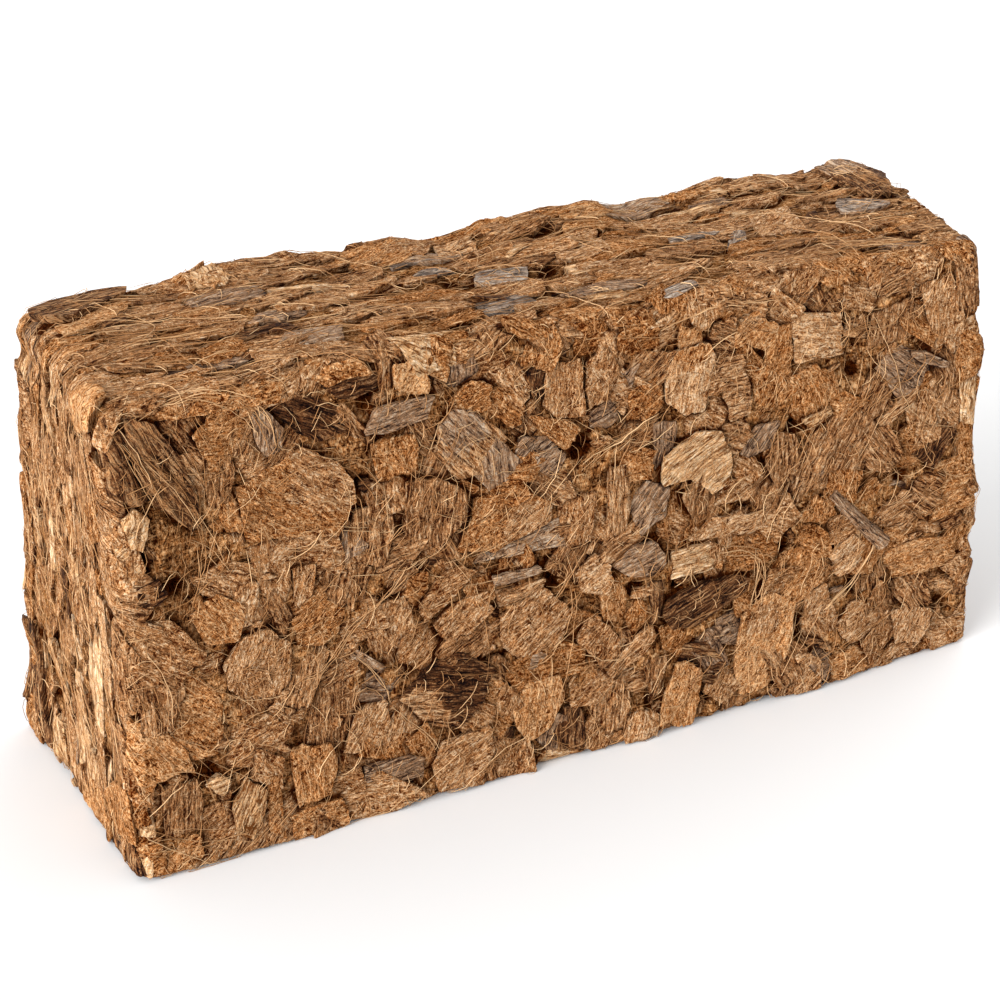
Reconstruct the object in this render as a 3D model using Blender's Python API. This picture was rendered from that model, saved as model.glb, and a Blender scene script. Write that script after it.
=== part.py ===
"""Coconut coir bale: chips of coconut husk and their fibre, pressed into one brick.

The packed mass of the brick carries hundreds of chips that are fused to it. The chips that stand
out by their size, colour or height are pieces of their own, each seated in a pocket of the mass.

X runs along the brick, Y from its front to its back, and Z upwards from the flat base. Sizes and
places in the lists are millimetres, and every point becomes metres where a mesh is made.
"""

import math
import random
from collections import namedtuple

import bmesh
import bpy
from mathutils import Vector

MM = 0.001

# The pressed brick
LENGTH = 200.0
DEPTH = 58.0
HEIGHT = 100.0
EDGE_RADIUS = 6.0

# The power of an edge's rounding: 2 is a circle, and more is squarer. The edges round the near upper
# corner are worn, and the others are crisp
CRISP_POWER = 8.0
WORN_POWER = 3.0

# The packed mass between the chips
MASS_SINK = 1.0
MASS_CELL = 28.0
MASS_EDGE_RADIUS = 5.0

# Thickness of a chip below the face, and its crowned middle
CHIP_DEPTH = 2.6
CHIP_CROWN = 0.25

# The backs of neighbouring fused chips lie at these steps of depth, so that no two share a plane
BACK_STEP = 0.074
BACK_STEPS = 5

# The air round a chip in its seat, and the height over the face up to which a seat is open
SEAT_GAP = 0.3
SEAT_REACH = 1.9

# Chips that lie level and stick out over the edges
LEVEL_CHIPS = ("overhanging_dark_chip",)

# A plate may run this far onto a rounded edge before it bends with it. A bent plate has a waist
FLAT_RUN_OUT = 1.5
WAIST = -1.4
LOWEST_RIM = -1.1

# Fused chips: the lowest place of a chip's edge over the base, and the most a tilted one sinks
BASE_CLEARANCE = 1.2
TILT = 0.07
LOWEST_LIFT = -0.7

# How far each corner was pushed out of square in the press: left or right, front or back, low or high
CORNER_PUSH = {
    ("left", "front", "low"): (-1.5, -5.4, 0.0),
    ("left", "back", "low"): (-2.0, 3.6, 0.0),
    ("right", "front", "low"): (3.6, 0.6, 0.0),
    ("right", "back", "low"): (0.0, 0.0, 0.0),
    ("left", "front", "high"): (-2.5, 2.1, 2.5),
    ("left", "back", "high"): (0.7, 0.1, 0.6),
    ("right", "front", "high"): (-2.2, 2.1, 0.3),
    ("right", "back", "high"): (1.8, -1.9, -1.2),
}

# Rise and fall of the top's rear edge along the brick: x, then the rise
REAR_EDGE = (
    (-100, -2.2), (-94, -1.8), (-80, -1.2), (-76, -0.9), (-67, 0.6), (-58, 2.9), (-52, 2.9),
    (-47, 2.2), (-42, 2.3), (-38, 0.7), (-29, -0.8), (-18, 0.4), (-8, -1.5), (3, 1.7),
    (13, 2.4), (22, 2.8), (29, 2.8), (36, 0.2), (43, 0.8), (48, 0.3), (58, 0.8), (71, 1.0),
    (82, -1.0), (92, 1.0), (100, 0.6),
)

# How far the front's foot bulges forward: x, then the bulge
FRONT_FOOT = (
    (-100, 0), (-84, 1.0), (-66, 1.4), (-50, 0.6), (-20, 0.6), (-5, 0.2), (4, 1.6), (14, 3.0),
    (24, 2.2), (38, 1.4), (54, 2.6), (66, 2.2), (74, 1.0), (100, 1.2),
)

# How far the upright edges bulge outwards: the height, then the bulge
RIGHT_EDGE = (
    (0, 0.3), (12, 1.2), (16, 0.8), (24, 1.7), (27.5, 0.5), (31, 2.2), (36, 2.0), (43, 0.6),
    (55, 0.1), (66, 0.3), (70, 1.9), (74, 2.3), (79, 0.9), (86, 0.3), (95, 0),
)
LEFT_EDGE = (
    (0, 1.4), (4, 2.0), (8, 1.0), (14, -0.5), (20, -1.2), (26, 0), (45, 0), (58, 0.8), (67, 1.2),
    (76, 1.1), (82, 0.5), (88, 0.9), (92, -0.9), (96, 0.5), (100, 0),
)

# Slow swell of the pressed faces: its height, and the lengths over which it comes and goes
SWELL = 0.45
SWELL_LONG = 14.0
SWELL_SHORT = 11.0

X_AXIS = Vector((1, 0, 0))
Y_AXIS = Vector((0, 1, 0))
Z_AXIS = Vector((0, 0, 1))

Face = namedtuple("Face", "origin u_axis v_axis normal u_span v_span")
ALONG = (-LENGTH / 2, LENGTH / 2)
ACROSS = (-DEPTH / 2, DEPTH / 2)
UP = (0.0, HEIGHT)
FACES = {
    "front": Face(-Y_AXIS * DEPTH / 2, X_AXIS, Z_AXIS, -Y_AXIS, ALONG, UP),
    "back": Face(Y_AXIS * DEPTH / 2, X_AXIS, Z_AXIS, Y_AXIS, ALONG, UP),
    "left": Face(-X_AXIS * LENGTH / 2, Y_AXIS, Z_AXIS, -X_AXIS, ACROSS, UP),
    "right": Face(X_AXIS * LENGTH / 2, Y_AXIS, Z_AXIS, X_AXIS, ACROSS, UP),
    "top": Face(Z_AXIS * HEIGHT, X_AXIS, Y_AXIS, Z_AXIS, ALONG, ACROSS),
}

# Chip colours as sRGB, their roughness, and the power that makes sRGB linear
SRGB_POWER = 2.2
TONES = {
    "packed_husk": ((126, 86, 50), 0.95),
    "tan_pith": ((184, 134, 84), 0.9),
    "orange_pith": ((172, 104, 52), 0.9),
    "brown_husk": ((128, 88, 54), 0.9),
    "grey_bark": ((128, 110, 90), 0.8),
    "dark_bark": ((66, 48, 36), 0.75),
    "pale_straw": ((204, 166, 118), 0.9),
}

# A chip has a name, its tone, its outline on the face, the lift of its middle, and its slope along u and v
Chip = namedtuple("Chip", "name tone outline lift slope")

FRONT_CHIPS = [
    # Upper left, by the corner
    Chip("corner_bark_fold", "grey_bark",
         [(-99.5, 95), (-97, 97.5), (-95.6, 91), (-95.2, 84), (-99, 82)], 0.5, (0, 0)),
    Chip("long_dark_wedge_chip", "dark_bark",
         [(-94.3, 97), (-88.5, 95.5), (-84, 88), (-81, 74), (-83.5, 72.5), (-90.5, 79.5), (-93.8, 88)],
         0.7, (0.02, 0.02)),
    Chip("folded_grey_bark_chip", "grey_bark",
         [(-70, 95), (-66, 94), (-63.5, 90), (-64, 86), (-67.5, 84.5), (-69, 88)], 0.8, (0.03, 0)),
    Chip("broad_rust_chip", "orange_pith",
         [(-74, 79.5), (-66.5, 82.5), (-60, 85.5), (-53, 81), (-50, 76), (-50, 71), (-54, 64.5),
          (-61, 66.5), (-73, 68)], 0.5, (0, 0.02)),
    Chip("pale_splinter_chip", "pale_straw",
         [(-97, 78), (-94.5, 80), (-92, 77), (-94, 70.5), (-96, 72)], 0.8, (0.02, 0)),
    Chip("slate_scrap_chip", "dark_bark",
         [(-96, 64), (-92, 65), (-90, 61.5), (-92, 59.5), (-96, 60)], 0.7, (0, 0.05)),
    # Upper middle
    Chip("grey_slab_chip", "grey_bark",
         [(-44.5, 90), (-31.5, 89.8), (-33.5, 85.5), (-42, 84.2), (-47, 85.2)], 0.9, (0, 0.05)),
    Chip("ribbed_orange_chip", "orange_pith",
         [(-46, 83), (-36, 82.6), (-36, 75), (-45, 74)], 0.3, (0.02, 0.04)),
    Chip("brown_fibrous_chip", "brown_husk",
         [(-27, 86), (-23.5, 85), (-15.5, 78), (-22, 71), (-28, 71), (-32, 77), (-31, 83)],
         0.5, (-0.03, 0)),
    Chip("small_rust_chip", "orange_pith",
         [(-24, 88.2), (-15, 89), (-11.5, 83.5), (-13.2, 79.6), (-15, 79.5), (-22.4, 86)],
         0.3, (0.03, 0.02)),
    Chip("light_tan_chip", "tan_pith",
         [(-6, 91), (2, 92), (2, 79), (-4, 79.5), (-7.5, 83)], 0.5, (0.02, 0)),
    Chip("ridged_brown_chip", "brown_husk",
         [(-50, 69), (-41.7, 70), (-41.7, 64), (-44, 55.5), (-51.5, 57.5), (-52, 63.5)],
         0.2, (0.03, 0)),
    Chip("red_brown_chip", "brown_husk",
         [(-39.5, 73), (-32, 72.5), (-29, 70), (-26.5, 68.5), (-26, 62), (-31.5, 57.5),
          (-38, 56.5), (-40.4, 63)], 0.5, (0.02, 0.03)),
    Chip("slanted_orange_chip", "orange_pith",
         [(-24.3, 66), (-12, 66), (-6.5, 61), (-7, 57.5), (-20, 53.5), (-29, 55.5), (-24.8, 61.5)],
         0.4, (0.01, -0.04)),
    Chip("upright_tan_chip", "tan_pith",
         [(-5.5, 62), (4, 62), (2, 50.5), (-4, 50.5)], 0.3, (0.04, 0)),
    # Upper right
    Chip("tall_tan_chip", "tan_pith",
         [(24, 89.5), (31, 90), (33, 86), (31, 79), (29, 74), (24, 74.5), (20.5, 78), (21, 85)],
         0.7, (0, 0.02)),
    Chip("ribbed_grey_chip", "brown_husk",
         [(34.3, 86), (39.5, 86), (40, 78), (40, 71.5), (35.5, 70.5), (33.8, 78)], 0.5, (0.04, 0)),
    Chip("upper_orange_chip", "orange_pith",
         [(37, 91), (43, 95), (48, 90), (47, 84), (41, 87.2), (37.5, 87.5)], 0.6, (0, 0.03)),
    Chip("palest_chip", "pale_straw",
         [(20, 66), (27, 70), (33, 69), (36.5, 62.2), (36, 56), (32, 54.5), (26, 60), (19, 59.5)],
         0.9, (0, 0.02)),
    Chip("violet_grey_chip", "grey_bark",
         [(42, 68), (48, 68), (46, 62), (40.4, 60.8), (38.5, 62.6)], 0.4, (-0.03, 0.03)),
    Chip("upright_plank_chip", "brown_husk",
         [(7, 67), (11, 66), (12, 58), (10, 50.5), (5, 50.5), (6, 58)], 0.5, (0.03, 0)),
    Chip("square_tan_chip", "tan_pith",
         [(51, 92), (64, 90), (64, 80), (52, 80.5)], 0.6, (-0.01, 0.03)),
    Chip("oval_brown_chip", "brown_husk",
         [(70, 75), (74, 74), (76, 70), (75, 65), (70.5, 62), (67, 67), (68, 72)], 0.5, (0.02, 0)),
    Chip("grey_sliver_chip", "grey_bark",
         [(81, 78), (85, 77), (90, 73.6), (90, 72), (86, 73), (81, 76.2)], 0.9, (0, 0.04)),
    Chip("tall_right_chip", "tan_pith",
         [(85, 92.5), (93, 94.5), (95.8, 85), (95.6, 76), (91.2, 75), (87, 82)], 0.4, (0.02, 0)),
    # Lower left
    Chip("round_tan_chip", "tan_pith",
         [(-80, 44), (-76, 48.5), (-70, 49.5), (-65.5, 45), (-66, 37), (-69, 34.5), (-75, 36),
          (-79, 38.5)], 0.5, (0, 0.03)),
    Chip("ridged_bark_chip", "brown_husk",
         [(-94, 20), (-86.5, 20), (-85.5, 14), (-87, 9), (-94, 9)], 0.4, (-0.03, 0)),
    Chip("pale_triangle_chip", "pale_straw",
         [(-76.5, 18), (-79.5, 12), (-79.5, 6), (-76, 4), (-73, 9), (-72, 14)], 0.7, (0.03, 0)),
    Chip("rust_column_chip", "orange_pith",
         [(-67, 22), (-58, 21), (-56.5, 15), (-59, 9), (-66, 8)], 0.5, (0.03, 0)),
    Chip("tan_ledge_chip", "tan_pith",
         [(-55.2, 17), (-52, 26.5), (-45, 26.8), (-44.5, 21), (-48, 15.5)], 0.4, (0, 0.04)),
    # Lower middle
    Chip("two_tone_bark_chip", "dark_bark",
         [(-42.5, 26), (-37, 31), (-29, 33), (-20.5, 27), (-24, 20), (-29.5, 15), (-37, 18.5)],
         0.8, (0.02, 0.02)),
    Chip("mottled_grey_chip", "grey_bark",
         [(-51, 13), (-41, 12.5), (-37.5, 11), (-38, 7), (-46, 7), (-51, 9)], 0.4, (0, 0.04)),
    Chip("light_lower_chip", "tan_pith",
         [(-33, 13.2), (-22.5, 14), (-21, 9), (-25, 1.8), (-35, 2.8), (-35.8, 8)], 0.5, (0, 0.02)),
    Chip("round_orange_chip", "orange_pith",
         [(-17, 18), (-13, 21), (-5, 21), (-4, 15.5), (-8, 9), (-13, 7), (-16, 10)], 0.6, (0.03, 0.02)),
    Chip("dark_stub_chip", "dark_bark",
         [(-4.4, 12.6), (-2, 13), (0, 11), (0, 2.8), (-5.8, 3.2), (-6.4, 8.2)], 0.5, (0, -0.03)),
    Chip("cross_fibre_chip", "tan_pith",
         [(-19.5, 38), (-9, 42.5), (-2.5, 35), (-5, 28.5), (-13.5, 26), (-18.5, 30.5)],
         0.5, (0.01, 0.02)),
    Chip("grey_slat_chip", "grey_bark",
         [(-21, 47.5), (-10, 48), (-9, 45.9), (-20, 45.2)], 0.7, (0, 0.05)),
    # Lower right
    Chip("dark_bark_boat_chip", "dark_bark",
         [(18, 30.5), (20, 33), (27, 35), (36, 34.3), (40, 33), (39, 29.7), (32, 27.5), (27, 24.8),
          (21, 25.5)], 0.8, (0, 0.05)),
    Chip("rose_grey_chip", "grey_bark",
         [(7, 44), (12, 48), (17, 47.5), (19.5, 44), (19.3, 41.5), (15, 39.5), (10, 41)],
         0.5, (0.03, 0.03)),
    Chip("straw_chip", "pale_straw",
         [(21.2, 44), (26, 44.2), (32.5, 43), (31, 37.2), (20.7, 37.7)], 0.7, (0, 0.04)),
    Chip("grey_bow_chip", "grey_bark",
         [(25, 19), (30, 23), (33, 23), (33.2, 19), (35.6, 13), (33, 11.3), (30, 12.3), (29, 16)],
         0.5, (0.04, 0)),
    Chip("tombstone_chip", "orange_pith",
         [(22.3, 16.3), (25, 17.2), (28.2, 14), (28, 7), (26, 1.8), (17.5, 3), (19.2, 9)],
         0.5, (0.03, 0.02)),
    Chip("slanted_plank_chip", "tan_pith",
         [(5, 19.3), (12, 25.8), (16.5, 28), (17.5, 25), (14, 21.2), (8.3, 17.9)], 0.5, (-0.02, 0.03)),
    Chip("golden_felt_chip", "orange_pith",
         [(38, 24), (46, 28), (52, 24), (50.5, 12.5), (45.5, 4.5), (38.5, 3.5), (36.9, 12)],
         0.3, (0, 0.02)),
    Chip("small_square_chip", "tan_pith",
         [(60, 32.5), (66.5, 36.5), (70.6, 31.6), (70.2, 27.5), (64, 26.5)], 0.7, (0, 0.03)),
    Chip("long_rust_chip", "orange_pith",
         [(76.4, 29.3), (85, 31), (94.3, 29.3), (96.2, 21.8), (88, 21.2), (78.5, 22), (76.6, 25)],
         0.3, (0.01, 0.05)),
    Chip("light_orange_chip", "tan_pith",
         [(78, 14), (84, 14), (89, 11.8), (89, 7.2), (86, 4.5), (80, 5.5)], 0.5, (0.03, 0)),
]

TOP_CHIPS = [
    Chip("overhanging_dark_chip", "dark_bark",
         [(-98.8, 23.5), (-91.4, 25.8), (-83.9, 26.7), (-77.3, 25.5), (-78.7, 22.6), (-84.1, 19.4),
          (-93.2, 13.4), (-97.1, 15.2), (-99.5, 19.5)], 2.2, (0, 0)),
    Chip("pale_beige_chip", "pale_straw",
         [(-66.5, 20), (-65.5, 25.4), (-58.5, 26), (-57.5, 20), (-59.5, 16.5)], 1.2, (0, 0.04)),
    Chip("silver_left_chip", "grey_bark",
         [(-59, -16), (-56, -10.5), (-44, -12.5), (-46, -19), (-55, -18.5)], 0.7, (0, -0.03)),
    Chip("silver_middle_chip", "grey_bark",
         [(-10.5, -1), (-8, 4.5), (2, 0.2), (0, -6), (-8, -4.3)], 0.8, (0, -0.03)),
    Chip("silver_strip_chip", "grey_bark",
         [(36, 0), (37, 3.6), (47, 4), (50, 2), (46, -1), (38, -0.6)], 0.7, (0, -0.04)),
    Chip("silver_front_chip", "grey_bark",
         [(19.8, -24), (24, -21.8), (31.5, -21), (31.8, -24), (25, -26.3), (20.5, -26)],
         0.5, (0.01, 0)),
    Chip("silver_right_chip", "grey_bark",
         [(80.5, 3.5), (82.8, 8.2), (87.5, 4.4), (92.6, 0.2), (91.5, -1.7), (86, -2.3), (80, 0)],
         0.9, (0, -0.03)),
    Chip("curled_bark_chip", "dark_bark",
         [(86.6, 25), (95.6, 25.4), (98.2, 15.4), (94.8, 3), (89, 5.2), (87.4, 15.4)],
         1.6, (0, 0.02)),
]

LEFT_CHIPS = [
    Chip("pale_end_strip", "pale_straw",
         [(-14, 50), (-11, 40), (-9.2, 35), (-11, 24), (-15, 24), (-14.6, 34), (-18, 46)],
         0.5, (0, 0)),
    Chip("rust_end_fold", "orange_pith",
         [(-14.5, 12), (-20, 17.5), (-27, 20.5), (-27.5, 9), (-20, 6.5)], 0.5, (-0.03, 0)),
]

STANDOUT_CHIPS = {"front": FRONT_CHIPS, "top": TOP_CHIPS, "left": LEFT_CHIPS}

# The grey twig on the front: its two ends on the face, its radii there, its lift and its sides
TWIG_TOP = (62, 47.5)
TWIG_FOOT = (75, 32)
TWIG_RADII = (1.4, 2.2)
TWIG_LIFT = -0.2
TWIG_SIDES = 8

# Fused chips on each face: seed, spacing along u and v, length and width, and how far they turn
Scatter = namedtuple("Scatter", "seed spacing long_side short_side turn_from turn_to")
SCATTERS = {
    "front": Scatter(3, (14.0, 12.5), (14, 20), (10, 14), -90, 90),
    "back": Scatter(5, (19.5, 16.5), (19, 26), (15, 20), -90, 90),
    "left": Scatter(7, (12.5, 22.0), (19, 28), (9, 13), 75, 105),
    "right": Scatter(9, (12.5, 22.0), (19, 28), (9, 13), 75, 105),
    "top": Scatter(11, (23.0, 11.0), (19, 29), (8, 11.5), -14, 14),
}
SCATTER_TRIES = 900
SEAT_MARGIN = 2.5
HIGHEST_LIFT = 0.2

# The corners of a fused chip: how many, how unevenly they are spread, and how far they reach out
CORNER_COUNTS = (4, 5, 5)
UNEVEN = 0.16
CORNER_REACH = (0.88, 1.12)

# Neighbouring faces of the block that bend less than this become one
FLAT_ENOUGH = math.radians(3)


def mixed(start, end, share):
    return start + (end - start) * share


def swell(first, second):
    return SWELL * math.sin(first / SWELL_LONG + second / SWELL_SHORT)


def bulge_at(profile, place):
    """The bulge of an edge at a place along it."""
    if place <= profile[0][0]:
        return profile[0][1]
    for (start, before), (end, after) in zip(profile, profile[1:]):
        if place <= end:
            return mixed(before, after, (place - start) / (end - start))
    return profile[-1][1]


def squared(point):
    """A point over a round edge, moved out as far as the edge is square."""
    nearest = Vector(min(max(value, low + EDGE_RADIUS), high - EDGE_RADIUS)
                     for value, (low, high) in zip(point, (ALONG, ACROSS, UP)))
    out = point - nearest
    if not out.length:
        return point
    left, front, high = max(-out.x, 0), max(-out.y, 0), max(out.z, 0)
    worn = min(2 * (front * high + left * front + left * high) / out.length_squared, 1)
    power = mixed(CRISP_POWER, WORN_POWER, worn)
    total = sum((abs(part) / out.length) ** power for part in out)
    return nearest + out / total ** (1 / power)


def settled(point):
    """A point of the round-edged brick, moved to where the press left it. The base stays flat."""
    point = squared(point)
    right = point.x / LENGTH + 0.5
    back = point.y / DEPTH + 0.5
    high = point.z / HEIGHT
    moved = point.copy()
    for (side, depth, level), push in CORNER_PUSH.items():
        share = right if side == "right" else 1 - right
        share *= back if depth == "back" else 1 - back
        share *= high if level == "high" else 1 - high
        moved += Vector(push) * share
    moved.x += swell(point.z, point.y)
    moved.y += swell(point.x, point.z)
    moved.z += swell(point.x, point.y) * high
    right, back, high = [min(max(share, 0), 1) for share in (right, back, high)]
    moved.z += bulge_at(REAR_EDGE, point.x) * (back * high) ** 2
    moved.y -= bulge_at(FRONT_FOOT, point.x) * ((1 - back) * (1 - high)) ** 2
    moved.x += bulge_at(RIGHT_EDGE, point.z) * (right * (1 - back)) ** 2
    moved.x -= bulge_at(LEFT_EDGE, point.z) * ((1 - right) * back) ** 2
    return moved


def on_face(face, u, v, lift):
    """The point over (u, v) of a face. Past the flat part it follows the rounded edge, and then runs on."""
    flat_u = min(max(u, face.u_span[0] + EDGE_RADIUS), face.u_span[1] - EDGE_RADIUS)
    flat_v = min(max(v, face.v_span[0] + EDGE_RADIUS), face.v_span[1] - EDGE_RADIUS)
    past = Vector((u - flat_u, v - flat_v))
    turn = min(past.length / EDGE_RADIUS, math.pi / 2)
    run_on = max(past.length - EDGE_RADIUS * math.pi / 2, 0)
    outward = (EDGE_RADIUS + lift) * math.cos(turn) - EDGE_RADIUS - run_on
    point = face.origin + face.u_axis * flat_u + face.v_axis * flat_v + face.normal * outward
    if past.length > 0:
        past.normalize()
        sideways = face.u_axis * past.x + face.v_axis * past.y
        point += sideways * (EDGE_RADIUS + lift) * math.sin(turn)
    return settled(point)


def middle(outline):
    count = len(outline)
    return sum(u for u, v in outline) / count, sum(v for u, v in outline) / count


def grown(outline, by):
    """The outline with every side moved outwards."""
    area = sum(a[0] * b[1] - b[0] * a[1] for a, b in zip(outline, outline[1:] + outline[:1]))
    out = math.copysign(by, area)
    corners = []
    for index, corner in enumerate(outline):
        corner = Vector(corner)
        before = (corner - Vector(outline[index - 1])).normalized()
        after = (Vector(outline[(index + 1) % len(outline)]) - corner).normalized()
        normal_before = Vector((before.y, -before.x))
        normal_after = Vector((after.y, -after.x))
        mitre = (normal_before + normal_after) / max(1 + normal_before.dot(normal_after), 0.5)
        corners.append(tuple(corner + mitre * out))
    return corners


def inside(point, outline):
    """True where the point lies within the outline, by counting the sides to its right."""
    u, v = point
    crossings = 0
    for (u_a, v_a), (u_b, v_b) in zip(outline, outline[1:] + outline[:1]):
        if (v_a > v) != (v_b > v) and u < u_a + (v - v_a) / (v_b - v_a) * (u_b - u_a):
            crossings += 1
    return crossings % 2 == 1


def lies_flat(face, outline):
    """True where the whole outline keeps off the rounded edges."""
    return all(
        face.u_span[0] + EDGE_RADIUS - FLAT_RUN_OUT < u < face.u_span[1] - EDGE_RADIUS + FLAT_RUN_OUT
        and face.v_span[0] + EDGE_RADIUS - FLAT_RUN_OUT < v < face.v_span[1] - EDGE_RADIUS + FLAT_RUN_OUT
        for u, v in outline)


def level_with(face, centre):
    """A function like on_face, but in the flat plane that touches the face at the centre."""
    origin = on_face(face, *centre, 0)
    u_step = on_face(face, centre[0] + 1, centre[1], 0) - origin
    v_step = on_face(face, centre[0], centre[1] + 1, 0) - origin
    outward = u_step.cross(v_step).normalized()
    if outward.dot(face.normal) < 0:
        outward.negate()

    def place(face, u, v, lift):
        return origin + u_step * (u - centre[0]) + v_step * (v - centre[1]) + outward * lift

    return place


def plate(name, face, outline, lift, slope, depth, crown_height=0.0, waisted=False):
    """A closed plate on a face: an outer side, a rim, and a back that lies inside the brick.

    Off the rounded edges it is a flat prism. Across an edge it bends round with the edge, and a
    waist keeps the walls of a chip and of its seat alike there.
    """
    centre = middle(outline)
    flat = lies_flat(face, outline) or name.removesuffix("_seat") in LEVEL_CHIPS
    place = level_with(face, centre) if flat else on_face

    def lift_at(u, v):
        return max(lift + slope[0] * (u - centre[0]) + slope[1] * (v - centre[1]), LOWEST_RIM)

    made = bmesh.new()
    rims = [[made.verts.new(place(face, u, v, lift_at(u, v)) * MM) for u, v in outline]]
    if waisted and not flat:
        rims.append([made.verts.new(place(face, u, v, WAIST) * MM) for u, v in outline])
    rims.append([made.verts.new(place(face, u, v, -depth) * MM) for u, v in outline])
    for outer, inner in zip(rims, rims[1:]):
        for side in zip(outer, inner, inner[1:] + inner[:1], outer[1:] + outer[:1]):
            made.faces.new(side)
    for rim, height in ((rims[0], lift + crown_height), (rims[-1], -depth)):
        if flat and (rim is rims[-1] or not crown_height):
            made.faces.new(rim)
            continue
        tip = made.verts.new(place(face, *centre, height) * MM)
        for start, end in zip(rim, rim[1:] + rim[:1]):
            made.faces.new((tip, start, end))
    if not flat:
        bmesh.ops.triangulate(made, faces=made.faces[:])
    return finished(name, made)


def rod(name, start, end, start_radius, end_radius):
    """A tapered round rod between two points in metres."""
    along = end - start
    made = bmesh.new()
    bmesh.ops.create_cone(
        made, cap_ends=True, segments=TWIG_SIDES, radius1=start_radius * MM, radius2=end_radius * MM,
        depth=along.length)
    bmesh.ops.rotate(made, matrix=along.to_track_quat("Z", "Y").to_matrix(), verts=made.verts[:])
    bmesh.ops.translate(made, vec=(start + end) / 2, verts=made.verts[:])
    return finished(name, made)


def finished(name, made):
    """The mesh as an object in the scene, with its faces pointing out."""
    bmesh.ops.recalc_face_normals(made, faces=made.faces[:])
    mesh = bpy.data.meshes.new(name)
    made.to_mesh(mesh)
    made.free()
    return bpy.data.objects.new(name, mesh)


def tone_material(tone):
    if tone in bpy.data.materials:
        return bpy.data.materials[tone]
    colour, roughness = TONES[tone]
    material = bpy.data.materials.new(tone)
    material.use_nodes = True
    shader = material.node_tree.nodes["Principled BSDF"]
    linear = [(channel / 255) ** SRGB_POWER for channel in colour]
    shader.inputs["Base Color"].default_value = (*linear, 1)
    shader.inputs["Roughness"].default_value = roughness
    shader.inputs["Metallic"].default_value = 0
    return material


def shown(piece, tone):
    """The piece as a visible part of the bale."""
    piece.data.materials.append(tone_material(tone))
    bpy.context.scene.collection.objects.link(piece)
    return piece


def helpers(name):
    """A collection for the shapes that a Boolean joins to the packed mass or cuts from it."""
    group = bpy.data.collections.new(name)
    bpy.context.scene.collection.children.link(group)
    return group


def add_helper(group, piece):
    piece.hide_render = True
    piece.display_type = "WIRE"
    group.objects.link(piece)


def add_boolean(piece, operation, group):
    modifier = piece.modifiers.new(group.name, "BOOLEAN")
    modifier.operation = operation
    modifier.operand_type = "COLLECTION"
    modifier.collection = group
    modifier.solver = "EXACT"


def steps(span, cell):
    """Even steps from one end of the span to the other, with one at each end of the rounded edges."""
    low, high = span[0] + MASS_EDGE_RADIUS, span[1] - MASS_EDGE_RADIUS
    count = max(round((high - low) / cell), 1)
    return [span[0]] + [mixed(low, high, step / count) for step in range(count + 1)] + [span[1]]


def packed_mass():
    """The mass of the brick, whose sides lie a little below the chips. Its base is flat."""
    half_length = LENGTH / 2 - MASS_SINK
    half_depth = DEPTH / 2 - MASS_SINK
    top = HEIGHT - MASS_SINK
    spans = ((-half_length, half_length), (-half_depth, half_depth), (0, top))
    grid = [steps(span, MASS_CELL) for span in spans]
    made = bmesh.new()
    placed = {}

    def corner(point):
        key = tuple(round(value, 4) for value in point)
        if key not in placed:
            nearest = Vector(min(max(value, low + MASS_EDGE_RADIUS), high - MASS_EDGE_RADIUS)
                             for value, (low, high) in zip(point, spans))
            rounded = nearest + (Vector(point) - nearest).normalized() * MASS_EDGE_RADIUS
            placed[key] = made.verts.new(settled(rounded) * MM)
        return placed[key]

    for fixed in range(3):
        first, second = [axis for axis in range(3) if axis != fixed]
        for level in spans[fixed]:
            for a_low, a_high in zip(grid[first], grid[first][1:]):
                for b_low, b_high in zip(grid[second], grid[second][1:]):
                    square = []
                    for a, b in ((a_low, b_low), (a_high, b_low), (a_high, b_high), (a_low, b_high)):
                        point = [0.0, 0.0, 0.0]
                        point[fixed], point[first], point[second] = level, a, b
                        square.append(corner(point))
                    made.faces.new(square)
    bmesh.ops.triangulate(made, faces=made.faces[:])
    return finished("packed_husk_block", made)


def rough_outline(rng, centre, long_side, short_side, turn):
    """An uneven outline of four or five corners, as a husk chip breaks."""
    corners = rng.choice(CORNER_COUNTS)
    start = rng.uniform(0, 1)
    outline = []
    for index in range(corners):
        angle = 2 * math.pi * (index + start + rng.uniform(-UNEVEN, UNEVEN)) / corners
        reach = rng.uniform(*CORNER_REACH) / max(abs(math.cos(angle)), abs(math.sin(angle))) ** 0.5
        along = long_side / 2 * reach * math.cos(angle)
        across = short_side / 2 * reach * math.sin(angle)
        outline.append((centre[0] + along * math.cos(turn) - across * math.sin(turn),
                        centre[1] + along * math.sin(turn) + across * math.cos(turn)))
    return outline


def scattered_chips(side):
    """The fused chips of a face, spaced evenly and clear of the seats."""
    face, scatter = FACES[side], SCATTERS[side]
    rng = random.Random(scatter.seed)
    seats = [grown(chip.outline, SEAT_MARGIN) for chip in STANDOUT_CHIPS.get(side, [])]
    centres = []
    chips = []
    for _ in range(SCATTER_TRIES):
        centre = (rng.uniform(*face.u_span), rng.uniform(*face.v_span))
        crowded = any(
            math.hypot((centre[0] - u) / scatter.spacing[0], (centre[1] - v) / scatter.spacing[1]) < 1
            for u, v in centres)
        if crowded or any(inside(centre, seat) for seat in seats):
            continue
        centres.append(centre)
        outline = rough_outline(
            rng, centre, rng.uniform(*scatter.long_side), rng.uniform(*scatter.short_side),
            math.radians(rng.uniform(scatter.turn_from, scatter.turn_to)))
        if side != "top":
            outline = [(u, max(v, BASE_CLEARANCE)) for u, v in outline]
        lift = rng.uniform(LOWEST_LIFT, HIGHEST_LIFT)
        slope = (rng.uniform(-TILT, TILT), rng.uniform(-TILT, TILT))
        chips.append(Chip(f"{side}_chip", "packed_husk", outline, lift, slope))
    return chips


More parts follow.
